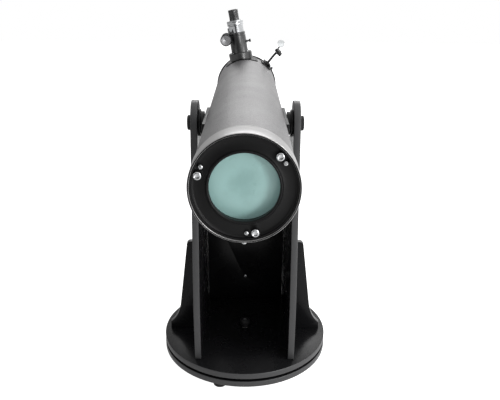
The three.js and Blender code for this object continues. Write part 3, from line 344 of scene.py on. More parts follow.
# %% Board, paint and plastic finishes
laminate = finish("black_laminate", (0.0045, 0.0045, 0.005), (0.009, 0.009, 0.010), gloss=(0.20, 0.32),
                  grain_scale=1800, relief=0.12, depth=0.0001, worn=(0.02, 0.02, 0.02), worn_amount=0.1,
                  shine=0.18)
edge_band = finish("edge_banding", (0.035, 0.035, 0.036), (0.060, 0.060, 0.062), gloss=(0.30, 0.42),
                   grain_scale=900, relief=0.15, depth=0.0001)
enamel = finish("black_enamel", (0.0035, 0.0035, 0.0035), (0.007, 0.007, 0.0075), gloss=(0.28, 0.42),
                grain_scale=1200, relief=0.2, depth=0.00015, worn=(0.05, 0.05, 0.05), worn_amount=0.35,
                shine=0.2)
satin_black = finish("satin_black_metal", (0.007, 0.007, 0.007), (0.013, 0.013, 0.014), gloss=(0.26, 0.36),
                     grain_scale=1500, relief=0.12, depth=0.0001, worn=(0.09, 0.09, 0.09), worn_amount=0.4,
                     shine=0.95)
plastic = finish("black_plastic", (0.010, 0.010, 0.010), (0.019, 0.019, 0.020), gloss=(0.32, 0.5),
                 grain_scale=1400, relief=0.35, depth=0.00015, worn=(0.05, 0.05, 0.05), worn_amount=0.4,
                 shine=0.3)
flocking = finish("matt_black_inside", (0.004, 0.004, 0.004), (0.010, 0.010, 0.010), gloss=(0.8, 0.95),
                  grain_scale=2500, relief=0.5, depth=0.0002, shine=0.1)
rubber = finish("black_rubber", (0.012, 0.012, 0.012), (0.022, 0.022, 0.022), gloss=(0.7, 0.85),
                grain_scale=1100, relief=0.5, depth=0.0002)
pale_plastic = finish("pale_plastic", (0.55, 0.56, 0.57), (0.66, 0.67, 0.68), gloss=(0.2, 0.3),
                      grain_scale=800, relief=0.1, depth=0.0001)
nylon = finish("natural_nylon", (0.62, 0.60, 0.54), (0.76, 0.74, 0.68), gloss=(0.35, 0.5),
               grain_scale=700, relief=0.2, depth=0.0001)

# %% Metal finishes
satin_silver = finish("satin_silver", (0.36, 0.355, 0.355), (0.47, 0.465, 0.465), metal=0.8,
                      gloss=(0.30, 0.42), grain_scale=900, relief=0.15, depth=0.00008,
                      worn=(0.8, 0.8, 0.8), worn_amount=0.4)
chrome = finish("chrome_plate", (0.52, 0.53, 0.54), (0.64, 0.65, 0.66), metal=1.0, gloss=(0.05, 0.14),
                grain_scale=500, relief=0.03, depth=0.00005)
zinc_steel = finish("zinc_steel", (0.40, 0.40, 0.41), (0.58, 0.58, 0.58), metal=1.0, gloss=(0.28, 0.45),
                    grain_scale=1500, relief=0.15, depth=0.00008)
turned_aluminium = finish("turned_aluminium", (0.34, 0.34, 0.35), (0.46, 0.46, 0.47), metal=0.8,
                          gloss=(0.35, 0.5), grain_scale=1300, relief=0.15, depth=0.00006)
print("plain finishes:", len(bpy.data.materials))

# %% [markdown]
# ## Special finishes
# Four finishes need more than the common recipe. Hammertone enamel is a metallic paint that dries
# into small dimples: a cell pattern makes the dimples, and the same cells carry the light and dark
# flecks. The mirror's back is ground glass that scatters light, so it is pale and cool with a soft
# darker heart, and it glows faintly in its own colour as painted light. The window is clear glass.
# The front of a mirror is a bare reflecting film.

# %% Hammertone enamel
hammertone, tree, shader = new_material("hammertone_grey")
shader.inputs["Metallic"].default_value = 0.45
shader.inputs["Coat Weight"].default_value = 0.15
shader.inputs["Coat Roughness"].default_value = 0.3
place = new_node(tree, "ShaderNodeTexCoord")
warp = new_node(tree, "ShaderNodeTexNoise", values={"Scale": 160, "Detail": 2})
stretch = new_node(tree, "ShaderNodeMix", {"data_type": "VECTOR"}, {"Factor": 0.006})
cells = new_node(tree, "ShaderNodeTexVoronoi", {"feature": "SMOOTH_F1"}, {"Scale": 330, "Smoothness": 0.6})
tree.links.new(place.outputs["Object"], warp.inputs["Vector"])
tree.links.new(place.outputs["Object"], stretch.inputs[4])
tree.links.new(warp.outputs["Color"], stretch.inputs[5])
tree.links.new(stretch.outputs[1], cells.inputs["Vector"])
flecks = new_node(tree, "ShaderNodeMapRange", values={"From Min": 0.05, "From Max": 0.65})
tree.links.new(cells.outputs["Distance"], flecks.inputs["Value"])
paint = mix_colours(tree, flecks.outputs["Result"], (0.125, 0.122, 0.125), (0.24, 0.236, 0.24))
speckle = use_group(tree, grain, Scale=420, Low=0, High=0.55)
paint = mix_colours(tree, speckle.outputs["Value"], paint, (0.085, 0.083, 0.086))
tree.links.new(paint, shader.inputs["Base Color"])
uneven = use_group(tree, handling, Scale=9, Low=0.38, High=0.5)
tree.links.new(uneven.outputs["Roughness"], shader.inputs["Roughness"])
bump = new_node(tree, "ShaderNodeBump", values={"Strength": 0.55, "Distance": 0.0006})
tree.links.new(flecks.outputs["Result"], bump.inputs["Height"])
tree.links.new(bump.outputs["Normal"], shader.inputs["Normal"])
print("made", hammertone.name)

# %% Glass blank, mirror film and window
mirror_blank, tree, shader = new_material("ground_glass_back_painted_glow")
shader.inputs["Coat Weight"].default_value = 0.3
shader.inputs["Coat Roughness"].default_value = 0.2
place = new_node(tree, "ShaderNodeTexCoord")
centre = new_node(tree, "ShaderNodeMapping", values={"Location": (0, 0, -AXIS_Z)})
tree.links.new(place.outputs["Object"], centre.inputs["Vector"])
flat = new_node(tree, "ShaderNodeVectorMath", {"operation": "MULTIPLY"})
flat.inputs[1].default_value = (1, 0, 1)
tree.links.new(centre.outputs["Vector"], flat.inputs[0])
far = new_node(tree, "ShaderNodeVectorMath", {"operation": "LENGTH"})
tree.links.new(flat.outputs["Vector"], far.inputs[0])
MIRROR_RADIUS = radius("primary_mirror")
HEART_SIZE = 0.55
swirl = use_group(tree, grain, Scale=45, Low=-0.12, High=0.12)
blur = new_node(tree, "ShaderNodeMath", {"operation": "DIVIDE"})
blur.inputs[1].default_value = MIRROR_RADIUS
tree.links.new(far.outputs["Value"], blur.inputs[0])
wavy = new_node(tree, "ShaderNodeMath", {"operation": "ADD"})
tree.links.new(blur.outputs["Value"], wavy.inputs[0])
tree.links.new(swirl.outputs["Value"], wavy.inputs[1])
heart = new_node(
    tree,
    "ShaderNodeMapRange",
    {"interpolation_type": "SMOOTHSTEP"},
    {"From Min": 0.0, "From Max": HEART_SIZE},
)
tree.links.new(wavy.outputs["Value"], heart.inputs["Value"])
glass_colour_and_painted_glow = mix_colours(tree, heart.outputs["Result"], (0.25, 0.43, 0.41), (0.35, 0.57, 0.545))
tree.links.new(glass_colour_and_painted_glow, shader.inputs["Base Color"])
# The glass colour also drives the emission, so the mirror's back glows faintly: painted light, since the
# glass is no lamp.
tree.links.new(glass_colour_and_painted_glow, shader.inputs["Emission Color"])
shader.inputs["Emission Strength"].default_value = 0.09
uneven = use_group(tree, handling, Scale=30, Low=0.25, High=0.4)
tree.links.new(uneven.outputs["Roughness"], shader.inputs["Roughness"])

mirror_film = finish("mirror_film", (0.90, 0.91, 0.92), (0.94, 0.95, 0.96), metal=1.0, gloss=(0.01, 0.03),
                     grain_scale=300, relief=0.0, depth=0.00001)

window_glass = bpy.data.materials.new("window_glass")
window_glass.use_nodes = True
tree = window_glass.node_tree
shader = colour_shader(window_glass, (0.93, 0.96, 0.97), 0.03)
shader.inputs["Transmission Weight"].default_value = 1
shader.inputs["IOR"].default_value = 1.45
smear = use_group(tree, handling, Scale=120, Low=0.02, High=0.06)
tree.links.new(smear.outputs["Roughness"], shader.inputs["Roughness"])

lens_glass, tree, shader = new_material("coated_lens")
shader.inputs["Coat Weight"].default_value = 1
shader.inputs["Coat Roughness"].default_value = 0.02
tint = use_group(tree, grain, Scale=60, Low=0, High=1)
tree.links.new(
    mix_colours(tree, tint.outputs["Value"], (0.010, 0.014, 0.022), (0.016, 0.020, 0.034)),
    shader.inputs["Base Color"],
)
smear = use_group(tree, handling, Scale=120, Low=0.03, High=0.08)
tree.links.new(smear.outputs["Roughness"], shader.inputs["Roughness"])
print("finishes:", len(bpy.data.materials))

# %% [markdown]
# ## Workshop tools
# A few hand tools do most of the modelling. The lathe takes one point, pulls it along a profile by
# extruding, and spins the line into a solid: rings, knobs and tubes are all turned pieces in the
# real workshop too. The saw draws a board's outline the same way, fills it and pulls it to its
# thickness. Rounding is a bevel on the sharp edges, and placing turns a piece to its axis, moves it,
# and writes that into the mesh, so that the object itself stays at the origin.

# %% Picking and placing
def choose(piece):
    """Makes this the only chosen piece."""
    deselect()
    piece.select_set(True)
    bpy.context.view_layer.objects.active = piece


def smooth(piece, angle=32):
    """Smooth shading, with creases where faces meet at more than the angle."""
    choose(piece)
    bpy.ops.object.shade_smooth_by_angle(angle=math.radians(angle))


def apply_modifiers(piece):
    choose(piece)
    for modifier in list(piece.modifiers):
        bpy.ops.object.modifier_apply(modifier=modifier.name)


def place_piece(piece, at=(0, 0, 0), turn=(0, 0, 0)):
    """Turns a piece about the origin, moves it, and writes both into its mesh."""
    choose(piece)
    piece.rotation_euler = turn
    piece.location = at
    bpy.ops.object.transform_apply(location=True, rotation=True, scale=True)
    return piece


ALONG_Y = (math.radians(-90), 0, 0)
ALONG_X = (0, math.radians(90), 0)
BACKWARDS = (math.radians(90), 0, 0)


def rounded(piece, width, segments=3, angle=28):
    """A bevel along the sharp edges, and smooth shading everywhere else."""
    bevel = piece.modifiers.new("rounding", "BEVEL")
    bevel.width = width
    bevel.segments = segments
    bevel.limit_method = "ANGLE"
    bevel.angle_limit = math.radians(angle)
    bevel.harden_normals = False
    apply_modifiers(piece)
    bpy.ops.object.shade_smooth_by_angle(angle=math.radians(40))
    return piece


def paint_piece(piece, *materials):
    piece.data.materials.clear()
    for material in materials:
        piece.data.materials.append(material)
    return piece


def edit(piece, select="VERT"):
    choose(piece)
    bpy.ops.object.mode_set(mode="EDIT")
    bpy.ops.mesh.select_mode(type=select)
    bpy.ops.mesh.select_all(action="DESELECT")
    bpy.ops.object.mode_set(mode="OBJECT")


def pick_faces(piece, wanted):
    """Selects the faces for which wanted(centre, normal) is true, and opens edit mode."""
    edit(piece, "FACE")
    for face in piece.data.polygons:
        face.select = wanted(face.center, face.normal)
    bpy.ops.object.mode_set(mode="EDIT")


def paint_faces(piece, slot, wanted):
    pick_faces(piece, wanted)
    piece.active_material_index = slot
    bpy.ops.object.material_slot_assign()
    bpy.ops.object.mode_set(mode="OBJECT")
    return piece


def fit(piece, body, slot, *nodes):
    """The piece rides on a body and stands for plain nodes. Its slot is not used."""
    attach(piece, body)
    if nodes:
        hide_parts(*nodes)
    return piece


# %% Lathe and saw
def draw_line(name, points):
    """One point pulled along a line of points. It ends in edit mode, with nothing filled."""
    deselect()
    bpy.ops.mesh.primitive_plane_add(size=0.001)
    piece = bpy.context.object
    piece.name = name
    bpy.ops.object.mode_set(mode="EDIT")
    bpy.ops.mesh.select_mode(type="VERT")
    bpy.ops.mesh.select_all(action="SELECT")
    bpy.ops.mesh.merge(type="CENTER")
    bpy.ops.transform.translate(value=points[0])
    for start, end in zip(points, points[1:]):
        step = Vector(end) - Vector(start)
        bpy.ops.mesh.extrude_region_move(TRANSFORM_OT_translate={"value": step})
    return piece


def turned(name, profile, steps=96, angle=360):
    """A profile of (radius, height) points, in metres, spun about the upright axis."""
    piece = draw_line(name, [(r, 0, z) for r, z in profile])
    bpy.ops.mesh.select_all(action="SELECT")
    if profile[0][0] > 0 and angle == 360:
        bpy.ops.mesh.edge_face_add()
        bpy.ops.mesh.delete(type="ONLY_FACE")
        bpy.ops.mesh.select_all(action="SELECT")
    bpy.ops.mesh.spin(steps=steps, angle=math.radians(angle), center=(0, 0, 0), axis=(0, 0, 1))
    bpy.ops.mesh.select_all(action="SELECT")
    bpy.ops.mesh.remove_doubles(threshold=0.000005)
    bpy.ops.mesh.normals_make_consistent(inside=False)
    bpy.ops.object.mode_set(mode="OBJECT")
    return piece


def arc(centre, r, first, last, steps):
    """Points round a centre, from one angle to another, in degrees."""
    turns = [math.radians(first + (last - first) * i / steps) for i in range(steps + 1)]
    return [(centre[0] + r * math.cos(a), centre[1] + r * math.sin(a)) for a in turns]


def sawn(name, outline, thickness):
    """An outline of (x, y) points filled and pulled up to a thickness along Z."""
    piece = draw_line(name, [(x, y, 0) for x, y in outline])
    bpy.ops.mesh.select_all(action="SELECT")
    bpy.ops.mesh.edge_face_add()
    bpy.ops.mesh.extrude_region_move(TRANSFORM_OT_translate={"value": (0, 0, thickness)})
    bpy.ops.mesh.select_all(action="SELECT")
    bpy.ops.mesh.normals_make_consistent(inside=False)
    bpy.ops.object.mode_set(mode="OBJECT")
    return piece


def brick(name, low, high):
    """A box from its lowest to its highest corner."""
    deselect()
    size = [h - l for l, h in zip(low, high)]
    bpy.ops.mesh.primitive_cube_add(size=1, location=[(l + h) / 2 for l, h in zip(low, high)], scale=size)
    piece = bpy.context.object
    piece.name = name
    bpy.ops.object.transform_apply(location=True, rotation=True, scale=True)
    return piece


def combine(piece, tool, operation="DIFFERENCE"):
    """Cuts a tool out of a piece, or joins it on, and throws the tool away."""
    change = piece.modifiers.new("combine", "BOOLEAN")
    change.operation = operation
    change.solver = "EXACT"
    change.object = tool
    apply_modifiers(piece)
    bpy.data.objects.remove(tool)
    return piece


def merged(piece, *others):
    """Joins meshes into one object without changing their faces."""
    deselect()
    for other in (piece, *others):
        other.select_set(True)
    bpy.context.view_layer.objects.active = piece
    bpy.ops.object.join()
    return piece


def knurl(piece, r, low, high, depth, every=2):
    """Pushes every second upright line of a turned side inwards, for a grip."""
    edit(piece, "VERT")
    steps = {}
    for vertex in piece.data.vertices:
        x, y, z = vertex.co
        if low < z < high and abs(math.hypot(x, y) - r) < 0.00005:
            steps.setdefault(round(math.degrees(math.atan2(y, x)), 2), []).append(vertex.index)
    for number, angle in enumerate(sorted(steps)):
        if number % every == 0:
            for index in steps[angle]:
                piece.data.vertices[index].select = True
    bpy.ops.object.mode_set(mode="EDIT")
    shrink = (r - depth) / r
    bpy.ops.transform.resize(value=(shrink, shrink, 1), center_override=(0, 0, 0))
    bpy.ops.object.mode_set(mode="OBJECT")
    return piece


print("tools ready")

# %% [markdown]
# ## The turntable
# Two round boards lie on each other with three slippery pads between them. The real ones are cut
# from laminated chipboard and wrapped with a paler edge band, so each is a turned slab with a tight
# round edge, and only the rim is given the band's finish.

# %% Round boards
def round_board(node, body, hole_radius):
    low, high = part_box(node)
    rim = radius(node)
    thickness = high.z - low.z
    outline = [(hole_radius, 0), (rim, 0), (rim, thickness), (hole_radius, thickness)]
    slab = turned(node + "_slab", outline, 160)
    rounded(slab, 1.6 * MM)
    place_piece(slab, at=(0, 0, low.z))
    paint_piece(slab, laminate, edge_band)
    paint_faces(slab, 1, lambda c, n: abs(n.z) < 0.9 and math.hypot(c.x, c.y) > rim / 2)
    return fit(slab, body, "laminate", node)


round_board("ground_board", "base", 5.3 * MM)
round_board("rocker_board", "rocker", 8.6 * MM)
print("boards turned")

# %% [markdown]
# The feet are moulded rubber cups, held by a screw from below: a turned profile with a soft bead at
# the floor. One is modelled, and the other two are copies with meshes of their own.

# %% Feet
foot_low, foot_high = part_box("foot_1")
foot_radius = radius("foot_1")
foot_height = foot_high.z - foot_low.z


def copy_of(piece, name):
    twin = piece.copy()
    twin.data = piece.data.copy()
    twin.name = name
    bpy.context.scene.collection.objects.link(twin)
    return twin


def rubber_foot():
    profile = [
        (4 * MM, 0),
        (foot_radius - 1.5 * MM, 0),
        (foot_radius, 1.5 * MM),
        (foot_radius, 4 * MM),
        (foot_radius - 1.5 * MM, 6 * MM),
        (foot_radius - 2.5 * MM, foot_height - 3 * MM),
        (foot_radius, foot_height - 2 * MM),
        (foot_radius, foot_height),
        (4 * MM, foot_height),
    ]
    return paint_piece(rounded(turned("foot", profile, 64), 0.7 * MM), rubber)


pattern_foot = rubber_foot()
for number in (1, 2, 3):
    node = f"foot_{number}"
    foot_piece = copy_of(pattern_foot, f"rubber_foot_{number}")
    spot = middle(node)
    place_piece(foot_piece, at=(spot.x, spot.y, 0))
    fit(foot_piece, "base", "rubber", node)
bpy.data.objects.remove(pattern_foot)
print("three feet")

# %% [markdown]
# ## The rocker box
# Two tall side boards with round heads carry the tube, a cross board ties them at the open end, and
# a flared wing braces each from outside. Every outline is drawn once from the frame's own boxes,
# with arcs for its round parts, sawn to the board's thickness and rounded. The cut edges get the
# edge band's paler finish and the flat faces the dark laminate.

# %% Side boards
panel_low, panel_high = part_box("right_side_panel")
BOARD = panel_high.x - panel_low.x
HEAD_RADIUS = panel_high.z - PIVOT.z
REAR_UPRIGHT = 150 * MM
FRONT_UPRIGHT = 330 * MM
PANEL_CORNER = 4 * MM
BORE = 9.3 * MM


def touch_angle(corner, side):
    """The angle, in degrees, at which a line from a corner touches the round head."""
    dy, dz = corner[0] - PIVOT.y, corner[1] - PIVOT.z
    away = math.hypot(dy, dz)
    return math.degrees(math.atan2(dz, dy) + side * math.acos(HEAD_RADIUS / away))


def panel_outline():
    rear = (panel_low.y, ROCKER_TOP + REAR_UPRIGHT)
    front = (panel_high.y, ROCKER_TOP + FRONT_UPRIGHT)
    toe = (panel_low.y + PANEL_CORNER, ROCKER_TOP + PANEL_CORNER)
    last = touch_angle(rear, -1) % 360
    head = arc((PIVOT.y, PIVOT.z), HEAD_RADIUS, touch_angle(front, 1), last, 48)
    return [(panel_high.y, ROCKER_TOP), front, *head, rear, *arc(toe, PANEL_CORNER, 180, 270, 10)]


def side_board(side):
    node = side + "_side_panel"
    panel = sawn(side + "_side_board", panel_outline(), BOARD)
    deselect()
    bpy.ops.mesh.primitive_cylinder_add(
        radius=BORE, depth=4 * BOARD, vertices=48, location=(PIVOT.y, PIVOT.z, 0)
    )
    combine(panel, bpy.context.object)
    # The outline was drawn flat: (x, y, z) goes to (z, x, y).
    place_piece(panel, turn=(math.radians(90), 0, math.radians(90)))
    place_piece(panel, at=(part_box(node)[0].x, 0, 0))
    rounded(panel, 1.4 * MM)
    paint_piece(panel, laminate, edge_band)
    paint_faces(panel, 1, lambda c, n: abs(n.x) < 0.9)
    return fit(panel, "rocker", "laminate", node)


for side in ("left", "right"):
    side_board(side)
print("side boards sawn")

# %% Wings
WING_WAIST = 49.5 * MM
WING_FLARE = 80 * MM
WING_TOE = 21 * MM
WING_CORNER = 10 * MM


def curve_points(start, pull, end, steps):
    """A curve from start to end that is drawn towards one pulling point."""
    shares = [i / steps for i in range(steps + 1)]
    return [
        tuple((1 - t) ** 2 * a + 2 * t * (1 - t) * b + t * t * c for a, b, c in zip(start, pull, end))
        for t in shares
    ]


def wing(side, sign):
    node = side + "_wing"
    low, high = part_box(node)
    reach = high.x - low.x
    head = 27 * MM
    outline = [(0, low.z), (reach, low.z)]
    outline += curve_points(
        (reach, low.z + WING_TOE),
        (WING_WAIST + 6 * MM, low.z + WING_TOE + 18 * MM),
        (WING_WAIST, low.z + WING_FLARE),
        14,
    )
    outline += arc((head - WING_CORNER, high.z - WING_CORNER), WING_CORNER, 0, 90, 8)
    outline += [(0, high.z)]
    if sign < 0:
        outline = [(-x, z) for x, z in outline]
    piece = sawn(side + "_wing_board", outline, BOARD)
    start = low.x if sign > 0 else high.x
    place_piece(piece, turn=(math.radians(90), 0, 0))
    place_piece(piece, at=(start, high.y, 0))
    rounded(piece, 1.4 * MM)
    paint_piece(piece, laminate, edge_band)
    paint_faces(piece, 1, lambda c, n: abs(n.y) < 0.9)
    return fit(piece, "rocker", "laminate", node)


for side, sign in (("left", -1), ("right", 1)):
    wing(side, sign)
print("wings sawn")

# %% Front board
front_low, front_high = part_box("front_board")
cross_board = brick("cross_board", front_low, front_high)
deselect()
bpy.ops.mesh.primitive_cylinder_add(
    radius=2.3 * MM,
    depth=4 * BOARD,
    vertices=24,
    location=middle("front_board_screw"),
    rotation=(math.radians(90), 0, 0),
)
combine(cross_board, bpy.context.object)
rounded(cross_board, 1.4 * MM)
paint_piece(cross_board, laminate, edge_band)
paint_faces(cross_board, 1, lambda c, n: abs(n.y) < 0.9)
fit(cross_board, "rocker", "laminate", "front_board")
print("cross board fitted")

# %% [markdown]
# ## Screws with crossed slots
# The bright screws all have a low domed head with a crossed slot. The head is turned, and two thin
# bars are cut out of its top. One screw is made to measure for each place, standing with its head
# up, and then turned to face the way its place needs.

# %% Cross-headed screws
def cross_screw(name, head_radius, head_height, shank_radius, shank_length):
    """The head's seat is at the origin, and the head stands up along Z."""
    profile = [
        (0, -shank_length),
        (shank_radius, -shank_length),
        (shank_radius, 0),
        (head_radius, 0),
        (head_radius, 0.45 * head_height),
        (0.86 * head_radius, 0.8 * head_height),
        (0.5 * head_radius, 0.97 * head_height),
        (0, head_height),
    ]
    screw = turned(name, profile, 48)
    rounded(screw, 0.25 * MM, 2)
    slot_half = 0.62 * head_radius
    slot_width = 0.13 * head_radius
    for long, wide in ((slot_half, slot_width), (slot_width, slot_half)):
        bar = brick("slot", (-long, -wide, 0.45 * head_height), (long, wide, 2 * head_height))
        combine(screw, bar)
    return paint_piece(screw, chrome)


low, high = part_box("front_board_screw")
panel_screw = cross_screw("cross_board_screw", radius("front_board_screw"), 3 * MM, 2 * MM, BOARD - 1 * MM)
place_piece(panel_screw, at=(0, low.y + 3 * MM, middle("front_board_screw").z), turn=BACKWARDS)
fit(panel_screw, "rocker", "chrome", "front_board_screw")

low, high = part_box("ring_screw")
rim_screw = cross_screw("rear_ring_screw", radius("ring_screw"), 4 * MM, 2 * MM, high.z - low.z - 4 * MM)
place_piece(rim_screw, at=(0, middle("ring_screw").y, low.z + 4 * MM), turn=(math.pi, 0, 0))
fit(rim_screw, "tube", "chrome", "ring_screw")

for number in (1, 2, 3):
    node = f"collimation_lock_screw_{number}"
    low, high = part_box(node)
    spot = middle(node)
    screw = cross_screw(f"lock_screw_{number}", radius(node), 5 * MM, 2 * MM, high.y - low.y - 5 * MM)
    place_piece(screw, turn=(0, 0, math.radians(25 * number)))
    place_piece(screw, at=(spot.x, low.y + 5 * MM, spot.z), turn=BACKWARDS)
    fit(screw, node, "chrome", node)
print("five cross-headed screws")

# %% [markdown]
# ## The knob on the turntable's bolt
# The two boards are held together by a knob-nut on the middle bolt. It has a thin skirt, a waist and
# a grip with flutes, so it is turned first, and then every second line of its side is pushed in.

# %% Azimuth knob
low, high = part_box("azimuth_nut")
nut_radius = radius("azimuth_nut")
nut_height = high.z - low.z
nut_neck = nut_radius - 5 * MM
grip_bottom = nut_height - 13 * MM
azimuth_knob = turned(
    "azimuth_knob",
    [
        (5.3 * MM, 0),
        (nut_neck, 0),
        (nut_neck, 1.6 * MM),
        (nut_neck - 1 * MM, 2.4 * MM),
        (nut_neck - 1 * MM, grip_bottom - 1.5 * MM),
        (nut_neck + 0.5 * MM, grip_bottom),
        (nut_radius - 1.2 * MM, grip_bottom),
        (nut_radius, grip_bottom + 1.2 * MM),
        (nut_radius, nut_height - 3 * MM),
        (nut_radius - 2.2 * MM, nut_height - 0.6 * MM),
        (nut_radius - 4 * MM, nut_height),
        (5.3 * MM, nut_height),
    ],
    72,
)
knurl(azimuth_knob, nut_radius, grip_bottom + 0.5 * MM, nut_height - 2 * MM, 0.7 * MM, 3)
rounded(azimuth_knob, 0.3 * MM, 2, 35)
place_piece(azimuth_knob, at=(0, 0, low.z))
paint_piece(azimuth_knob, plastic)
fit(azimuth_knob, "azimuth_nut", "black_plastic", "azimuth_nut")
print("azimuth knob turned")

# %% [markdown]
# ## The tube
# The tube is a rolled steel sheet. It is turned as a single thin wall with two hundred steps, so
# that no flats show on its long outline, and the light hole is cut under the focuser. Its outside
# is hammertone enamel and its inside is matt black, which keeps stray light out of the picture.

# %% Main tube
low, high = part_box("main_tube")
tube_length = high.y - low.y
BORE_RADIUS = TUBE_RADIUS - 1 * MM
main_tube = turned(
    "rolled_tube",
    [(BORE_RADIUS, 0), (TUBE_RADIUS, 0), (TUBE_RADIUS, tube_length), (BORE_RADIUS, tube_length)],
    TUBE_STEPS,
)
place_piece(main_tube, at=(0, low.y, AXIS_Z), turn=ALONG_Y)
deselect()
bpy.ops.mesh.primitive_cylinder_add(radius=26 * MM, depth=0.2, vertices=96, location=(0, 0, 0.1))
hole_tool = bpy.context.object
place_piece(hole_tool, turn=(0, FOCUSER_LEAN, 0))
place_piece(hole_tool, at=FOCUSER)
combine(main_tube, hole_tool)
paint_piece(main_tube, hammertone, flocking)
paint_faces(
    main_tube,
    1,
    lambda c, n: n.x * c.x + n.z * (c.z - AXIS_Z) < 0,
)
smooth(main_tube, 30)
fit(main_tube, "tube", "hammertone", "main_tube")
print("tube rolled,", round(tube_length, 3), "m long")

# %% [markdown]
# ## Rings at the tube's ends
# A spun ring covers each raw edge of the tube. The rear one is a broad satin band with a rolled
# bead, and the front one is narrow and black. A real spun ring has no sharp corner anywhere, so
# its bead is drawn as an arc in the profile and the rest is bevelled.

# %% End rings
SLEEVE_RADIUS = radius("rear_ring")
ring_low, ring_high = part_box("rear_ring")
RING_DEPTH = ring_high.y - ring_low.y
LIP_INSIDE = TUBE_RADIUS - 1.5 * MM
bead = arc((SLEEVE_RADIUS - 1.9 * MM, 1.9 * MM), 1.9 * MM, 270, 360, 6)
rear_ring = turned(
    "rear_end_ring",
    [
        (LIP_INSIDE, 3.7 * MM),
        (LIP_INSIDE, 0.8 * MM),
        (LIP_INSIDE + 0.8 * MM, 0),
        *bead,
        (SLEEVE_RADIUS, RING_DEPTH - 5 * MM),
        (SLEEVE_RADIUS - 0.5 * MM, RING_DEPTH - 4.2 * MM),
        (SLEEVE_RADIUS - 0.5 * MM, RING_DEPTH - 3 * MM),
        (SLEEVE_RADIUS, RING_DEPTH - 2.2 * MM),
        (SLEEVE_RADIUS, RING_DEPTH),
        (TUBE_RADIUS + SLIP, RING_DEPTH),
        (TUBE_RADIUS + SLIP, 3.7 * MM),
    ],
    TUBE_STEPS,
)
place_piece(rear_ring, at=(0, REAR_Y, AXIS_Z), turn=ALONG_Y)
rounded(rear_ring, 0.3 * MM, 2, 35)
paint_piece(rear_ring, satin_silver, enamel)
paint_faces(rear_ring, 1, lambda c, n: n.y < -0.8 and c.y < ring_low.y + 3 * MM)
fit(rear_ring, "tube", "silver_ring", "rear_ring")

FRONT_RADIUS = radius("front_ring")
ring_low, ring_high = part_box("front_ring")
front_depth = ring_high.y - ring_low.y
front_bead = arc((FRONT_RADIUS - 1.5 * MM, front_depth - 1.5 * MM), 1.5 * MM, 0, 90, 6)
front_ring = turned(
    "front_end_ring",
    [
        (LIP_INSIDE, front_depth - 3 * MM),
        (TUBE_RADIUS + SLIP, front_depth - 3 * MM),
        (TUBE_RADIUS + SLIP, 0),
        (FRONT_RADIUS - 1 * MM, 0),
        (FRONT_RADIUS, 1 * MM),
        *front_bead,
        (LIP_INSIDE + 0.8 * MM, front_depth),
        (LIP_INSIDE, front_depth - 0.8 * MM),
    ],
    TUBE_STEPS,
)
place_piece(front_ring, at=(0, ring_low.y, AXIS_Z), turn=ALONG_Y)
rounded(front_ring, 0.3 * MM, 2, 35)
paint_piece(front_ring, enamel)
fit(front_ring, "tube", "black_paint", "front_ring")
print("end rings spun")

# %% [markdown]
# ## The mirror cell
# The black plate at the back is a pressing: a flat web with a raised bead round its opening and a
# rim that stands against the tube. Behind it sits the mirror on its carrier. The mirror is a glass
# disc with ground edges. Its back scatters light and glows faintly as painted light, and its front
# carries the reflecting film.

# %% Cell plate
cell_low, cell_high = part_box("cell_plate")
RIM_OUTSIDE = radius("cell_plate")
CELL_OPENING = 58.5 * MM
cell_depth = cell_high.y - cell_low.y
web = cell_depth - 5 * MM
cell_bead = arc((CELL_OPENING + 2.6 * MM, web), 2.6 * MM, 180, 360, 10)
cell_plate = turned(
    "cell_pressing",
    [
        (CELL_OPENING, cell_depth),
        *cell_bead,
        (CELL_OPENING + 6.2 * MM, web + 0.6 * MM),
        (RIM_OUTSIDE - 6.5 * MM, web + 0.6 * MM),
        (RIM_OUTSIDE - 3 * MM, web - 2 * MM),
        (RIM_OUTSIDE - 3 * MM, 0),
        (RIM_OUTSIDE, 0),
        (RIM_OUTSIDE, cell_depth),
    ],
    160,
)
place_piece(cell_plate, at=(0, cell_low.y, AXIS_Z), turn=ALONG_Y)
rounded(cell_plate, 0.4 * MM, 2, 35)
paint_piece(cell_plate, enamel)
fit(cell_plate, "tube", "black_paint", "cell_plate")
print("cell plate pressed")

# %% Primary mirror
mirror_low, mirror_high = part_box("primary_mirror")
glass_depth = mirror_high.y - mirror_low.y
mirror = turned(
    "primary_glass",
    [
        (0, 0),
        (MIRROR_RADIUS - 1.5 * MM, 0),
        (MIRROR_RADIUS, 1.5 * MM),
        (MIRROR_RADIUS, glass_depth - 1.5 * MM),
        (MIRROR_RADIUS - 1.5 * MM, glass_depth),
        (0.66 * MIRROR_RADIUS, glass_depth - 0.8 * MM),
        (0.33 * MIRROR_RADIUS, glass_depth - 1.3 * MM),
        (0, glass_depth - 1.5 * MM),
    ],
    128,
)
place_piece(mirror, at=(0, mirror_low.y, AXIS_Z), turn=ALONG_Y)
rounded(mirror, 0.3 * MM, 2, 35)
# The back's finish glows faintly, as painted light.
paint_piece(mirror, mirror_blank, mirror_film)
paint_faces(mirror, 1, lambda c, n: n.y > 0.9 and c.y > mirror_high.y - 3 * MM)
fit(mirror, "tube", "mirror_blank", "primary_mirror")
print("mirror ground")

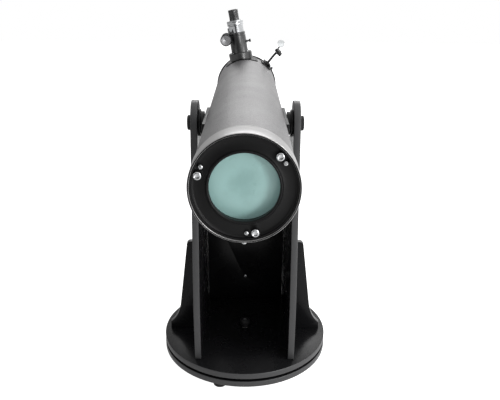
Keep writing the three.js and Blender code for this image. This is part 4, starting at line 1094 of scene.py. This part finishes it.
# %% Collimation knobs
for number in (1, 2, 3):
    node = f"collimation_knob_{number}"
    low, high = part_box(node)
    spot = middle(node)
    grip = radius(node)
    knob = turned(
        f"cell_knob_{number}",
        [
            (0, -(high.y - low.y - 10 * MM)),
            (2.5 * MM, -(high.y - low.y - 10 * MM)),
            (2.5 * MM, 0),
            (grip - 1 * MM, 0),
            (grip - 1 * MM, 1.2 * MM),
            (grip, 1.8 * MM),
            (grip, 8.2 * MM),
            (grip - 1.2 * MM, 9.4 * MM),
            (grip - 2.6 * MM, 9.8 * MM),
            (grip - 3.4 * MM, 9.2 * MM),
            (0, 9.4 * MM),
        ],
        72,
    )
    knurl(knob, grip, 1.5 * MM, 8.5 * MM, 0.35 * MM)
    rounded(knob, 0.2 * MM, 2, 40)
    place_piece(knob, at=(spot.x, low.y + 10 * MM, spot.z), turn=BACKWARDS)
    paint_piece(knob, chrome)
    fit(knob, node, "chrome", node)
print("three collimation knobs")

# %% [markdown]
# ## Altitude bearings
# The tube hangs on two round plastic hubs. Each sits on a bar that is hollowed to the tube's side
# and screwed to it, so that the tube can be slid to its balance point. Outside the boards a fluted
# knob on a bolt sets how stiffly the tube tilts. The left side is the right side turned half round.

# %% Rails
HALF_TURN = (0, 0, math.pi)
rail_low, rail_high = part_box("right_altitude_rail")
for side, sign in (("right", 1), ("left", -1)):
    rail = brick(side + "_balance_rail", (TUBE_RADIUS - 5 * MM, rail_low.y, rail_low.z), rail_high)
    deselect()
    bpy.ops.mesh.primitive_cylinder_add(
        radius=TUBE_RADIUS + SLIP,
        depth=1,
        vertices=TUBE_STEPS,
        location=(0, PIVOT.y, AXIS_Z),
        rotation=BACKWARDS,
    )
    combine(rail, bpy.context.object)
    rounded(rail, 1.2 * MM)
    for end in (-1, 1):
        bolt = cross_screw(f"{side}_rail_screw_{(end + 3) // 2}", 4.5 * MM, 2.6 * MM, 2 * MM, 2 * MM)
        place_piece(bolt, at=(rail_high.x, PIVOT.y + end * 76 * MM, AXIS_Z), turn=ALONG_X)
        if sign < 0:
            place_piece(bolt, at=(0, 2 * PIVOT.y, 0), turn=HALF_TURN)
        paint_piece(bolt, enamel)
        fit(bolt, "tube", "black_paint")
    if sign < 0:
        place_piece(rail, at=(0, 2 * PIVOT.y, 0), turn=HALF_TURN)
    paint_piece(rail, enamel)
    fit(rail, "tube", "black_paint", side + "_altitude_rail")
print("rails shaped")

# %% Hubs and tension knobs
hub_low, hub_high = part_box("right_altitude_hub")
HUB_RADIUS = radius("right_altitude_hub", "z")
knob_low, knob_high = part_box("right_altitude_knob")
KNOB_RADIUS = radius("right_altitude_knob", "z")
HUB_NECK = 27 * MM
FACE = 5 * MM
KNOB_THICK = 11 * MM


def hub_profile():
    start, end = hub_low.x, hub_high.x
    return [
        (0, start),
        (HUB_NECK, start),
        (HUB_NECK, end - FACE - 1.5 * MM),
        (HUB_NECK + 1.5 * MM, end - FACE),
        (HUB_RADIUS, end - FACE),
        (HUB_RADIUS, end - 1.6 * MM),
        (HUB_RADIUS - 1.2 * MM, end),
        (12 * MM, end),
        (11 * MM, end - 0.8 * MM),
        (5.3 * MM, end - 0.8 * MM),
        (5.3 * MM, start + 4 * MM),
        (0, start + 4 * MM),
    ]


def knob_profile():
    start, end = knob_high.x - KNOB_THICK, knob_high.x
    return [
        (0, knob_low.x),
        (4.4 * MM, knob_low.x),
        (5 * MM, knob_low.x + 0.8 * MM),
        (5 * MM, start),
        (KNOB_RADIUS - 1.5 * MM, start),
        (KNOB_RADIUS, start + 1.5 * MM),
        (KNOB_RADIUS, end - 2.5 * MM),
        (KNOB_RADIUS - 2 * MM, end - 0.5 * MM),
        (KNOB_RADIUS - 4.5 * MM, end),
        (KNOB_RADIUS - 5.5 * MM, end - 0.9 * MM),
        (4.5 * MM, end - 0.9 * MM),
        (4 * MM, end - 0.2 * MM),
        (0, end - 0.2 * MM),
    ]


for side, turn in (("right", ALONG_X), ("left", (0, math.radians(-90), 0))):
    hub = turned(side + "_bearing_hub", hub_profile(), 96)
    rounded(hub, 0.6 * MM)
    place_piece(hub, at=PIVOT, turn=turn)
    paint_piece(hub, plastic)
    fit(hub, "tube", "black_plastic", side + "_altitude_hub")
    knob = turned(side + "_tension_knob", knob_profile(), 96)
    knurl(knob, KNOB_RADIUS, knob_high.x - KNOB_THICK + 1 * MM, knob_high.x - 2 * MM, 0.9 * MM, 4)
    rounded(knob, 0.4 * MM, 2, 35)
    place_piece(knob, at=PIVOT, turn=turn)
    paint_piece(knob, plastic, zinc_steel)
    paint_faces(knob, 1, lambda c, n: math.hypot(c.y - PIVOT.y, c.z - PIVOT.z) < 4.9 * MM)
    fit(knob, side + "_altitude_knob", "black_plastic", side + "_altitude_knob")
print("hubs and tension knobs turned")

# %% [markdown]
# ## Focuser
# The focuser is built upright around its own axis and leaned over as the last step. A curved saddle
# follows the tube, a round flange and barrel hold the chrome drawtube, and a small box on the side
# holds the pinion whose two knurled knobs move the drawtube by its rack. The heights below are
# counted from the tube's axis.

# %% Focuser sizes
SADDLE_TOP = TUBE_RADIUS + 2.3 * MM
FLANGE_TOP = TUBE_RADIUS + 20 * MM
BARREL_TOP = TUBE_RADIUS + 78 * MM
COLLAR_BOTTOM = TUBE_RADIUS + 98.5 * MM
COLLAR_TOP = COLLAR_BOTTOM + 14 * MM
DRAWTUBE_RADIUS = 22 * MM
BARREL_RADIUS = 25 * MM
FLANGE_RADIUS = 35.5 * MM
COLLAR_RADIUS = 24.4 * MM
PINION_Z = TUBE_RADIUS + 63.2 * MM
PINION_X = -35 * MM
EYEPIECE_TOP = COLLAR_TOP + 31.5 * MM
LOCK_Z = TUBE_RADIUS + 48.5 * MM


def on_focuser(piece):
    """Leans a piece that was built upright, and sets it at the focuser's place along the tube."""
    place_piece(piece, turn=(0, FOCUSER_LEAN, 0))
    return place_piece(piece, at=FOCUSER)


def on_finder(piece):
    place_piece(piece, turn=(0, FINDER_LEAN, 0))
    return place_piece(piece, at=FINDER)


def rod_tool(r, start, end, turn=(0, 0, 0), at=(0, 0, 0)):
    """A round cutter from start to end along its own axis."""
    deselect()
    half_way = (start + end) / 2
    bpy.ops.mesh.primitive_cylinder_add(radius=r, depth=end - start, vertices=96, location=(0, 0, half_way))
    bpy.ops.object.transform_apply(location=True, rotation=True, scale=True)
    return place_piece(bpy.context.object, at=at, turn=turn)


# %% Saddle
def rounded_rectangle(half_x, half_y, r):
    corners = ((1, 1, 0), (-1, 1, 90), (-1, -1, 180), (1, -1, 270))
    points = []
    for sx, sy, start in corners:
        points += arc((sx * (half_x - r), sy * (half_y - r)), r, start, start + 90, 8)
    return points


SADDLE_HALF = 42 * MM
saddle = turned(
    "focuser_base_plate",
    [
        (TUBE_RADIUS + SLIP, -SADDLE_HALF),
        (SADDLE_TOP, -SADDLE_HALF),
        (SADDLE_TOP, SADDLE_HALF),
        (TUBE_RADIUS + SLIP, SADDLE_HALF),
    ],
    TUBE_STEPS,
)
place_piece(saddle, turn=ALONG_Y)
saddle_reach = SADDLE_TOP * math.sin(math.radians(31.5))
trim = sawn("trim", rounded_rectangle(saddle_reach, SADDLE_HALF, 10 * MM), 0.2)
combine(saddle, trim, "INTERSECT")
combine(saddle, rod_tool(25 * MM, 0, 0.2))
rounded(saddle, 0.5 * MM, 2, 35)
on_focuser(saddle)
paint_piece(saddle, enamel)
fit(saddle, "tube", "black_paint", "focuser_saddle")
print("saddle rolled")

# %% Flange, barrel and pinion box
BORE_R = DRAWTUBE_RADIUS + SLIP
GROOVE = BARREL_TOP - 8 * MM
body = turned(
    "focuser_housing",
    [
        (BORE_R, TUBE_RADIUS - 11 * MM),
        (FLANGE_RADIUS, TUBE_RADIUS - 11 * MM),
        (FLANGE_RADIUS, FLANGE_TOP - 2 * MM),
        (FLANGE_RADIUS - 1.5 * MM, FLANGE_TOP),
        (BARREL_RADIUS + 3 * MM, FLANGE_TOP),
        (BARREL_RADIUS + 0.8 * MM, FLANGE_TOP + 0.8 * MM),
        (BARREL_RADIUS, FLANGE_TOP + 3 * MM),
        (BARREL_RADIUS, GROOVE - 1 * MM),
        (BARREL_RADIUS - 0.8 * MM, GROOVE - 0.2 * MM),
        (BARREL_RADIUS - 0.8 * MM, GROOVE + 2.2 * MM),
        (BARREL_RADIUS, GROOVE + 3 * MM),
        (BARREL_RADIUS, BARREL_TOP - 1 * MM),
        (BARREL_RADIUS - 1 * MM, BARREL_TOP),
        (BORE_R, BARREL_TOP),
    ],
    128,
)
combine(body, rod_tool(SADDLE_TOP + SLIP, -0.2, 0.2, ALONG_Y))
BOX_REACH = 12.2 * MM
BOX_HALF = 20 * MM
pinion_box = brick(
    "pinion_box",
    (PINION_X - BOX_REACH, -BOX_HALF, PINION_Z - BOX_REACH),
    (-DRAWTUBE_RADIUS, BOX_HALF, PINION_Z + BOX_REACH),
)
rounded(pinion_box, 2.4 * MM, 4)
combine(body, pinion_box, "UNION")
combine(body, rod_tool(BORE_R, 0, 0.4))
combine(body, brick("rack_room", (-DRAWTUBE_RADIUS - 4.3 * MM, -4.3 * MM, 0), (0, 4.3 * MM, 0.4)))
combine(body, rod_tool(9 * MM, -7.3 * MM, 7.3 * MM, ALONG_Y, (PINION_X, 0, PINION_Z)))
combine(body, rod_tool(3.25 * MM, -30 * MM, 30 * MM, ALONG_Y, (PINION_X, 0, PINION_Z)))
combine(body, rod_tool(SCREW_HOLE, 0, 70 * MM, ALONG_X, (0, 0, LOCK_Z)))
combine(body, rod_tool(SCREW_HOLE, 0, 0.1, (0, 0, 0), (PINION_X, 0, PINION_Z)))
smooth(body)
on_focuser(body)
paint_piece(body, satin_black)
fit(body, "tube", "black_paint", "focuser_body")
print("focuser body bored,", len(body.data.polygons), "faces")

# %% Flange screws
flange_screws = []
for number in range(4):
    angle = math.radians(45 + 90 * number)
    screw = cross_screw("flange_screw", 2.6 * MM, 1.5 * MM, 1.4 * MM, 1 * MM)
    ring_place = FLANGE_RADIUS - 4.5 * MM
    flange_screws.append(
        place_piece(screw, at=(ring_place * math.cos(angle), ring_place * math.sin(angle), FLANGE_TOP))
    )
screws = merged(*flange_screws)
screws.name = "focuser_flange_screws"
on_focuser(screws)
fit(screws, "tube", "chrome")
print("flange screwed down")

# %% Drawtube with its rack
EYE_BORE = 16.1 * MM
STEP = COLLAR_TOP - 24.3 * MM
drawtube = turned(
    "chrome_drawtube",
    [
        (DRAWTUBE_RADIUS - 2.5 * MM, TUBE_RADIUS + 16.5 * MM),
        (DRAWTUBE_RADIUS, TUBE_RADIUS + 16.5 * MM),
        (DRAWTUBE_RADIUS, COLLAR_BOTTOM),
        (COLLAR_RADIUS, COLLAR_BOTTOM + 1 * MM),
        (COLLAR_RADIUS, COLLAR_BOTTOM + 4 * MM),
        (COLLAR_RADIUS - 0.6 * MM, COLLAR_BOTTOM + 4.6 * MM),
        (COLLAR_RADIUS - 0.6 * MM, COLLAR_BOTTOM + 5.6 * MM),
        (COLLAR_RADIUS, COLLAR_BOTTOM + 6.2 * MM),
        (COLLAR_RADIUS, COLLAR_TOP - 1 * MM),
        (COLLAR_RADIUS - 1 * MM, COLLAR_TOP),
        (EYE_BORE, COLLAR_TOP),
        (EYE_BORE, STEP),
        (EYE_BORE - 2 * MM, STEP),
        (EYE_BORE - 2 * MM, STEP - 2 * MM),
        (DRAWTUBE_RADIUS - 2.5 * MM, STEP - 2 * MM),
    ],
    128,
)
rounded(drawtube, 0.3 * MM, 2, 35)
TOOTH = 2.6 * MM
RACK_START = TUBE_RADIUS + 18.5 * MM
RACK_TEETH = int((COLLAR_BOTTOM - 2 * MM - RACK_START) / TOOTH)
RACK_FACE = -DRAWTUBE_RADIUS - 4 * MM
rack_line = [(1.5 * MM - DRAWTUBE_RADIUS, RACK_START), (RACK_FACE + 1.6 * MM, RACK_START)]
for tooth in range(RACK_TEETH):
    base = RACK_START + tooth * TOOTH
    rack_line += [
        (RACK_FACE, base + 0.3 * TOOTH),
        (RACK_FACE, base + 0.7 * TOOTH),
        (RACK_FACE + 1.6 * MM, base + TOOTH),
    ]
rack_line += [(1.5 * MM - DRAWTUBE_RADIUS, RACK_START + RACK_TEETH * TOOTH)]
rack = sawn("rack", rack_line, 8 * MM)
place_piece(rack, at=(0, 4 * MM, 0), turn=(math.radians(90), 0, 0))
combine(drawtube, rack, "UNION")
combine(drawtube, rod_tool(SCREW_HOLE, 10 * MM, 40 * MM, BACKWARDS, (0, 0, COLLAR_BOTTOM + 7 * MM)))
smooth(drawtube)
on_focuser(drawtube)
paint_piece(drawtube, chrome)
fit(drawtube, "drawtube", "chrome", "drawtube")
print("drawtube with", RACK_TEETH, "teeth")

# %% Eyepiece
EYE_RADIUS = 14.7 * MM
CUP_RADIUS = 7.5 * MM
ridges = []
for number in range(4):
    ridge = COLLAR_TOP + (9 + 3.2 * number) * MM
    ridges += [
        (EYE_RADIUS - 0.7 * MM, ridge),
        (EYE_RADIUS, ridge + 0.6 * MM),
        (EYE_RADIUS, ridge + 2.0 * MM),
        (EYE_RADIUS - 0.7 * MM, ridge + 2.6 * MM),
    ]
eyepiece = turned(
    "eyepiece_body",
    [
        (0, COLLAR_TOP - 24 * MM),
        (14.6 * MM, COLLAR_TOP - 24 * MM),
        (15.85 * MM, COLLAR_TOP - 23 * MM),
        (15.85 * MM, COLLAR_TOP),
        (15.85 * MM, COLLAR_TOP + 1.2 * MM),
        (EYE_RADIUS - 0.3 * MM, COLLAR_TOP + 2.2 * MM),
        (EYE_RADIUS - 0.3 * MM, COLLAR_TOP + 7.5 * MM),
        *ridges,
        (EYE_RADIUS, EYEPIECE_TOP - 8 * MM),
        (EYE_RADIUS, EYEPIECE_TOP - 1.6 * MM),
        (EYE_RADIUS - 1.6 * MM, EYEPIECE_TOP),
        (CUP_RADIUS + 3.4 * MM, EYEPIECE_TOP),
        (CUP_RADIUS, EYEPIECE_TOP - 4 * MM),
        (0, EYEPIECE_TOP - 4 * MM),
    ],
    96,
)
rounded(eyepiece, 0.25 * MM, 2, 35)
paint_piece(eyepiece, satin_black, chrome)
paint_faces(eyepiece, 1, lambda c, n: c.z < COLLAR_TOP + 1.3 * MM)
on_focuser(eyepiece)
fit(eyepiece, "eyepiece", "black_plastic", "eyepiece")
lens_base = EYEPIECE_TOP - 3.9 * MM
eye_lens = turned(
    "eye_lens",
    [(0, lens_base), *arc((0, lens_base - 12 * MM), 13.9 * MM, 59, 90, 8)],
    64,
)
on_focuser(paint_piece(eye_lens, lens_glass))
fit(eye_lens, "eyepiece", "window_glass")
print("eyepiece turned")

# %% Pinion and its knobs
pinion = turned(
    "pinion_shaft",
    [
        (0, -29.5 * MM),
        (3 * MM, -29.5 * MM),
        (3 * MM, -7 * MM),
        (8.7 * MM, -7 * MM),
        (8.7 * MM, 7 * MM),
        (3 * MM, 7 * MM),
        (3 * MM, 29.5 * MM),
        (0, 29.5 * MM),
    ],
    42,
)
knurl(pinion, 8.7 * MM, -8 * MM, 8 * MM, 1.5 * MM)
place_piece(pinion, at=(PINION_X, 0, PINION_Z), turn=ALONG_Y)
on_focuser(paint_piece(pinion, zinc_steel))
fit(pinion, "focus_shaft", "steel", "focus_shaft")

WHEEL = 17 * MM
WHEEL_START = 23 * MM
WHEEL_END = 36 * MM
WHEEL_PROFILE = [
    (0, 29.8 * MM),
    (3.25 * MM, 29.8 * MM),
    (3.25 * MM, WHEEL_START),
    (7 * MM, WHEEL_START),
    (8 * MM, WHEEL_START + 1.2 * MM),
    (WHEEL - 2 * MM, WHEEL_START + 1.2 * MM),
    (WHEEL, WHEEL_START + 2.6 * MM),
    (WHEEL, WHEEL_END - 1.6 * MM),
    (WHEEL - 1.2 * MM, WHEEL_END - 0.4 * MM),
    (WHEEL - 2.2 * MM, WHEEL_END),
    (WHEEL - 2.9 * MM, WHEEL_END - 0.9 * MM),
    (5 * MM, WHEEL_END - 0.9 * MM),
    (3.4 * MM, WHEEL_END - 1.9 * MM),
    (0, WHEEL_END - 1.9 * MM),
]
for end, turn in (("rear", BACKWARDS), ("front", ALONG_Y)):
    wheel = turned(f"focus_wheel_{end}", WHEEL_PROFILE, 120)
    knurl(wheel, WHEEL, WHEEL_START + 2 * MM, WHEEL_END - 1 * MM, 0.55 * MM)
    rounded(wheel, 0.2 * MM, 2, 40)
    paint_piece(wheel, plastic, turned_aluminium)
    paint_faces(wheel, 1, lambda c, n: c.z > WHEEL_END - 2.5 * MM and math.hypot(c.x, c.y) < WHEEL - 2.8 * MM)
    place_piece(wheel, at=(PINION_X, 0, PINION_Z), turn=turn)
    on_focuser(wheel)
    fit(wheel, "focus_shaft", "black_plastic", f"focus_knob_{end}")
print("focus wheels knurled")

# %% Thumbscrews
THUMB_RADIUS = 4.5 * MM


def thumbscrew(name, shank_length, material):
    """Its collar's seat is at the origin, its head up along Z and its shank down."""
    profile = [
        (0, -shank_length),
        (2 * MM, -shank_length),
        (2 * MM, 0),
        (3.5 * MM, 0),
        (3.5 * MM, 3 * MM),
        (2 * MM, 3.6 * MM),
        (2 * MM, 6 * MM),
        (3.4 * MM, 8.2 * MM),
        (THUMB_RADIUS, 8.8 * MM),
        (THUMB_RADIUS, 12.2 * MM),
        (THUMB_RADIUS - 0.8 * MM, 13 * MM),
        (0, 13 * MM),
    ]
    screw = turned(name, profile, 48)
    knurl(screw, THUMB_RADIUS, 8.5 * MM, 12.5 * MM, 0.3 * MM)
    rounded(screw, 0.15 * MM, 2, 40)
    return paint_piece(screw, material)


lock = thumbscrew("focus_lock_thumbscrew", 3 * MM, plastic)
place_piece(lock, at=(BARREL_RADIUS + SLIP, 0, LOCK_Z), turn=ALONG_X)
on_focuser(lock)
fit(lock, "focus_lock_screw", "black_plastic", "focus_lock_screw")

tension = cross_screw("focus_tension_adjuster", 3 * MM, 6 * MM, 2 * MM, 3.2 * MM)
place_piece(tension, at=(PINION_X, 0, PINION_Z + BOX_REACH + SLIP))
on_focuser(tension)
paint_piece(tension, plastic)
fit(tension, "focus_tension_screw", "black_plastic", "focus_tension_screw")

set_screw = cross_screw("eyepiece_clamp_screw", 2.5 * MM, 3 * MM, 2 * MM, 8 * MM)
place_piece(set_screw, at=(0, -COLLAR_RADIUS - SLIP, COLLAR_BOTTOM + 7 * MM), turn=BACKWARDS)
on_focuser(set_screw)
paint_piece(set_screw, zinc_steel)
fit(set_screw, "eyepiece_set_screw", "steel", "eyepiece_set_screw")
print("focuser screws fitted")

# %% [markdown]
# ## Secondary mirror
# A small flat mirror inside the open end turns the light out through the focuser. It is a round
# rod of glass cut across at 45 degrees, twice, and its holder is the same rod cut once. The cut is
# a bisect that throws one side away and fills the other.

# %% Secondary mirror and holder
def slanted_cut(piece, height, keep_above):
    """Cuts across at 45 degrees, at a height square to the cut, and closes the cut."""
    edit(piece)
    bpy.ops.object.mode_set(mode="EDIT")
    bpy.ops.mesh.select_all(action="SELECT")
    normal = Vector((0, -1, 1)).normalized()
    bpy.ops.mesh.bisect(
        plane_co=normal * height,
        plane_no=normal,
        use_fill=True,
        clear_inner=keep_above,
        clear_outer=not keep_above,
    )
    bpy.ops.object.mode_set(mode="OBJECT")


MIRROR_HALF = 18 * MM
GLASS = 6 * MM
small_mirror = rod_tool(MIRROR_HALF, -60 * MM, 60 * MM, ALONG_Y)
small_mirror.name = "secondary_glass"
slanted_cut(small_mirror, -GLASS, True)
slanted_cut(small_mirror, 0, False)
rounded(small_mirror, 0.4 * MM, 2, 35)
# The back's finish glows faintly, as painted light.
paint_piece(small_mirror, mirror_blank, mirror_film)
paint_faces(small_mirror, 1, lambda c, n: (n.z - n.y) > 1.35)
on_focuser(small_mirror)
fit(small_mirror, "tube", "mirror_coating", "secondary_mirror")

holder = rod_tool(MIRROR_HALF - 1 * MM, -60 * MM, 38 * MM, ALONG_Y)
holder.name = "secondary_mount"
slanted_cut(holder, -GLASS - SLIP, False)
rounded(holder, 0.6 * MM, 2, 35)
combine(holder, rod_tool(4 * MM, 37 * MM, 62 * MM, ALONG_Y), "UNION")
on_focuser(holder)
paint_piece(holder, enamel)
fit(holder, "tube", "black_paint", "secondary_holder")
print("secondary cut")

# %% [markdown]
# ## Finder
# The red dot finder slides into a shoe on the tube and is clamped by a thumbscrew. Its window is a
# thin disc in a hoop. Like the focuser it is built upright and leaned over as the last step.

# %% Finder shoe
JAW_IN = 6.8 * MM
JAW_OUT = 11.8 * MM
SHOE_HALF = 16.5 * MM
SHOE_TOP = TUBE_RADIUS + 2.8 * MM
JAW_TOP = TUBE_RADIUS + 10.8 * MM
CLAMP_Z = TUBE_RADIUS + 6.8 * MM
half_outline = [
    (SHOE_HALF, TUBE_RADIUS - 6 * MM),
    (SHOE_HALF, SHOE_TOP),
    (JAW_OUT, SHOE_TOP),
    (JAW_OUT, JAW_TOP),
    (JAW_IN, JAW_TOP),
    (JAW_IN, SHOE_TOP),
]
shoe = sawn("finder_dovetail", half_outline + [(-x, z) for x, z in reversed(half_outline)], 54 * MM)
place_piece(shoe, at=(0, 27 * MM, 0), turn=BACKWARDS)
combine(shoe, rod_tool(TUBE_RADIUS + SLIP, -0.2, 0.2, ALONG_Y))
rounded(shoe, 0.6 * MM)
combine(shoe, rod_tool(SCREW_HOLE, 0, 20 * MM, ALONG_X, (0, 0, CLAMP_Z)))
on_finder(shoe)
paint_piece(shoe, plastic)
fit(shoe, "tube", "black_paint", "finder_shoe")

# %% Finder housing
SIDEWAYS = (math.radians(90), 0, math.radians(90))
HEAD_HALF = 31 * MM
HEAD_LOW = TUBE_RADIUS + 49.5 * MM
HEAD_TOP = TUBE_RADIUS + 62.5 * MM
HOOP_X = -3 * MM
HOOP_Z = TUBE_RADIUS + 78.5 * MM
foot = brick(
    "finder_housing",
    (-6.5 * MM, -13 * MM, TUBE_RADIUS + 3.1 * MM),
    (6.5 * MM, 13 * MM, TUBE_RADIUS + 12.8 * MM),
)
rounded(foot, 1 * MM)
stalk = brick(
    "stalk",
    (-2.5 * MM, -12.5 * MM, TUBE_RADIUS + 11 * MM),
    (2.5 * MM, 12.5 * MM, HEAD_LOW + 2.2 * MM),
)
rounded(stalk, 1.5 * MM)
head = sawn(
    "head",
    [
        (2 * MM - HEAD_HALF, HEAD_LOW),
        (HEAD_HALF - 1 * MM, HEAD_LOW),
        (HEAD_HALF, HEAD_LOW + 2 * MM),
        (HEAD_HALF, HEAD_TOP),
        (HEAD_HALF - 12 * MM, HEAD_TOP),
        (HEAD_HALF - 15 * MM, HEAD_TOP - 1.6 * MM),
        (4 * MM - HEAD_HALF, HEAD_TOP - 1.6 * MM),
        (-HEAD_HALF, HEAD_TOP - 5 * MM),
        (-HEAD_HALF, HEAD_LOW + 2.4 * MM),
    ],
    16 * MM,
)
place_piece(head, at=(-2 * MM, 0, 0), turn=SIDEWAYS)
rounded(head, 1.8 * MM)
combine(head, rod_tool(1.6 * MM, 0, 0.1, (0, 0, 0), (3 * MM, -18 * MM, HEAD_TOP - 3 * MM)))
neck = brick(
    "neck",
    (-2.6 * MM, HEAD_HALF - 4.5 * MM, HEAD_TOP - 2.3 * MM),
    (1.6 * MM, HEAD_HALF - 0.5 * MM, HEAD_TOP + 5.7 * MM),
)
hoop = turned(
    "hoop",
    [
        (9.5 * MM, HEAD_HALF - 5 * MM),
        (10.7 * MM, HEAD_HALF - 5 * MM),
        (11.1 * MM, HEAD_HALF - 4.6 * MM),
        (11.1 * MM, HEAD_HALF - 0.4 * MM),
        (10.7 * MM, HEAD_HALF),
        (9.5 * MM, HEAD_HALF),
    ],
    96,
)
place_piece(hoop, at=(HOOP_X, 0, HOOP_Z), turn=ALONG_Y)
foot = merged(foot, stalk, head, neck, hoop)
smooth(foot)
paint_piece(foot, plastic, pale_plastic)
paint_faces(foot, 1, lambda c, n: c.z > HEAD_TOP + 4.5 * MM)
on_finder(foot)
fit(foot, "finder", "black_plastic", "finder_body")

# %% Window, switch knob and clamp
window = turned(
    "finder_lens",
    [
        (0, 27.75 * MM),
        (8.8 * MM, 27.75 * MM),
        (9.2 * MM, 28.1 * MM),
        (9.2 * MM, 28.9 * MM),
        (8.8 * MM, 29.25 * MM),
        (0, 29.25 * MM),
    ],
    96,
)
place_piece(window, at=(HOOP_X, 0, HOOP_Z), turn=ALONG_Y)
on_finder(paint_piece(window, window_glass))
fit(window, "finder", "window_glass", "finder_window")

switch = turned(
    "finder_switch",
    [
        (0, 0),
        (4.2 * MM, 0),
        (4.5 * MM, 0.4 * MM),
        (4.5 * MM, 6 * MM),
        (3.6 * MM, 7 * MM),
        (0, 7 * MM),
    ],
    48,
)
knurl(switch, 4.5 * MM, 0.2 * MM, 6.5 * MM, 0.35 * MM)
rounded(switch, 0.15 * MM, 2, 40)
place_piece(switch, at=(-2.3 * MM, -15.5 * MM, TUBE_RADIUS + 57 * MM), turn=(0, math.radians(-90), 0))
on_finder(paint_piece(switch, plastic))
fit(switch, "finder_knob", "black_plastic", "finder_knob")

clamp = thumbscrew("finder_clamp_thumbscrew", 5.3 * MM, chrome)
place_piece(clamp, at=(JAW_OUT + SLIP, 0, CLAMP_Z), turn=ALONG_X)
on_finder(clamp)
fit(clamp, "finder_clamp_screw", "chrome", "finder_clamp_screw")
print("finder fitted")

# %% [markdown]
# ## Pieces that keep their shape
# The pads, bushes, bolts, springs and the parts deep inside are right as they are, so they only get
# a finish.

# %% Finish the plain pieces
KEPT_FINISHES = {
    nylon: [*[f"glide_pad_{number}" for number in (1, 2, 3)], "azimuth_bushing", "left_panel_bush",
            "right_panel_bush"],
    zinc_steel: ["azimuth_bolt", *[f"collimation_spring_{number}" for number in (1, 2, 3)]],
    enamel: ["mirror_carrier", "spider"],
}
for material, nodes in KEPT_FINISHES.items():
    for node in nodes:
        paint_piece(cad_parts[node], material)

# %% Finish off and report
left_plain = [
    name
    for name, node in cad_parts.items()
    if not node.hide_render and not any(name in nodes for nodes in KEPT_FINISHES.values())
]
print("still plain:", left_plain)
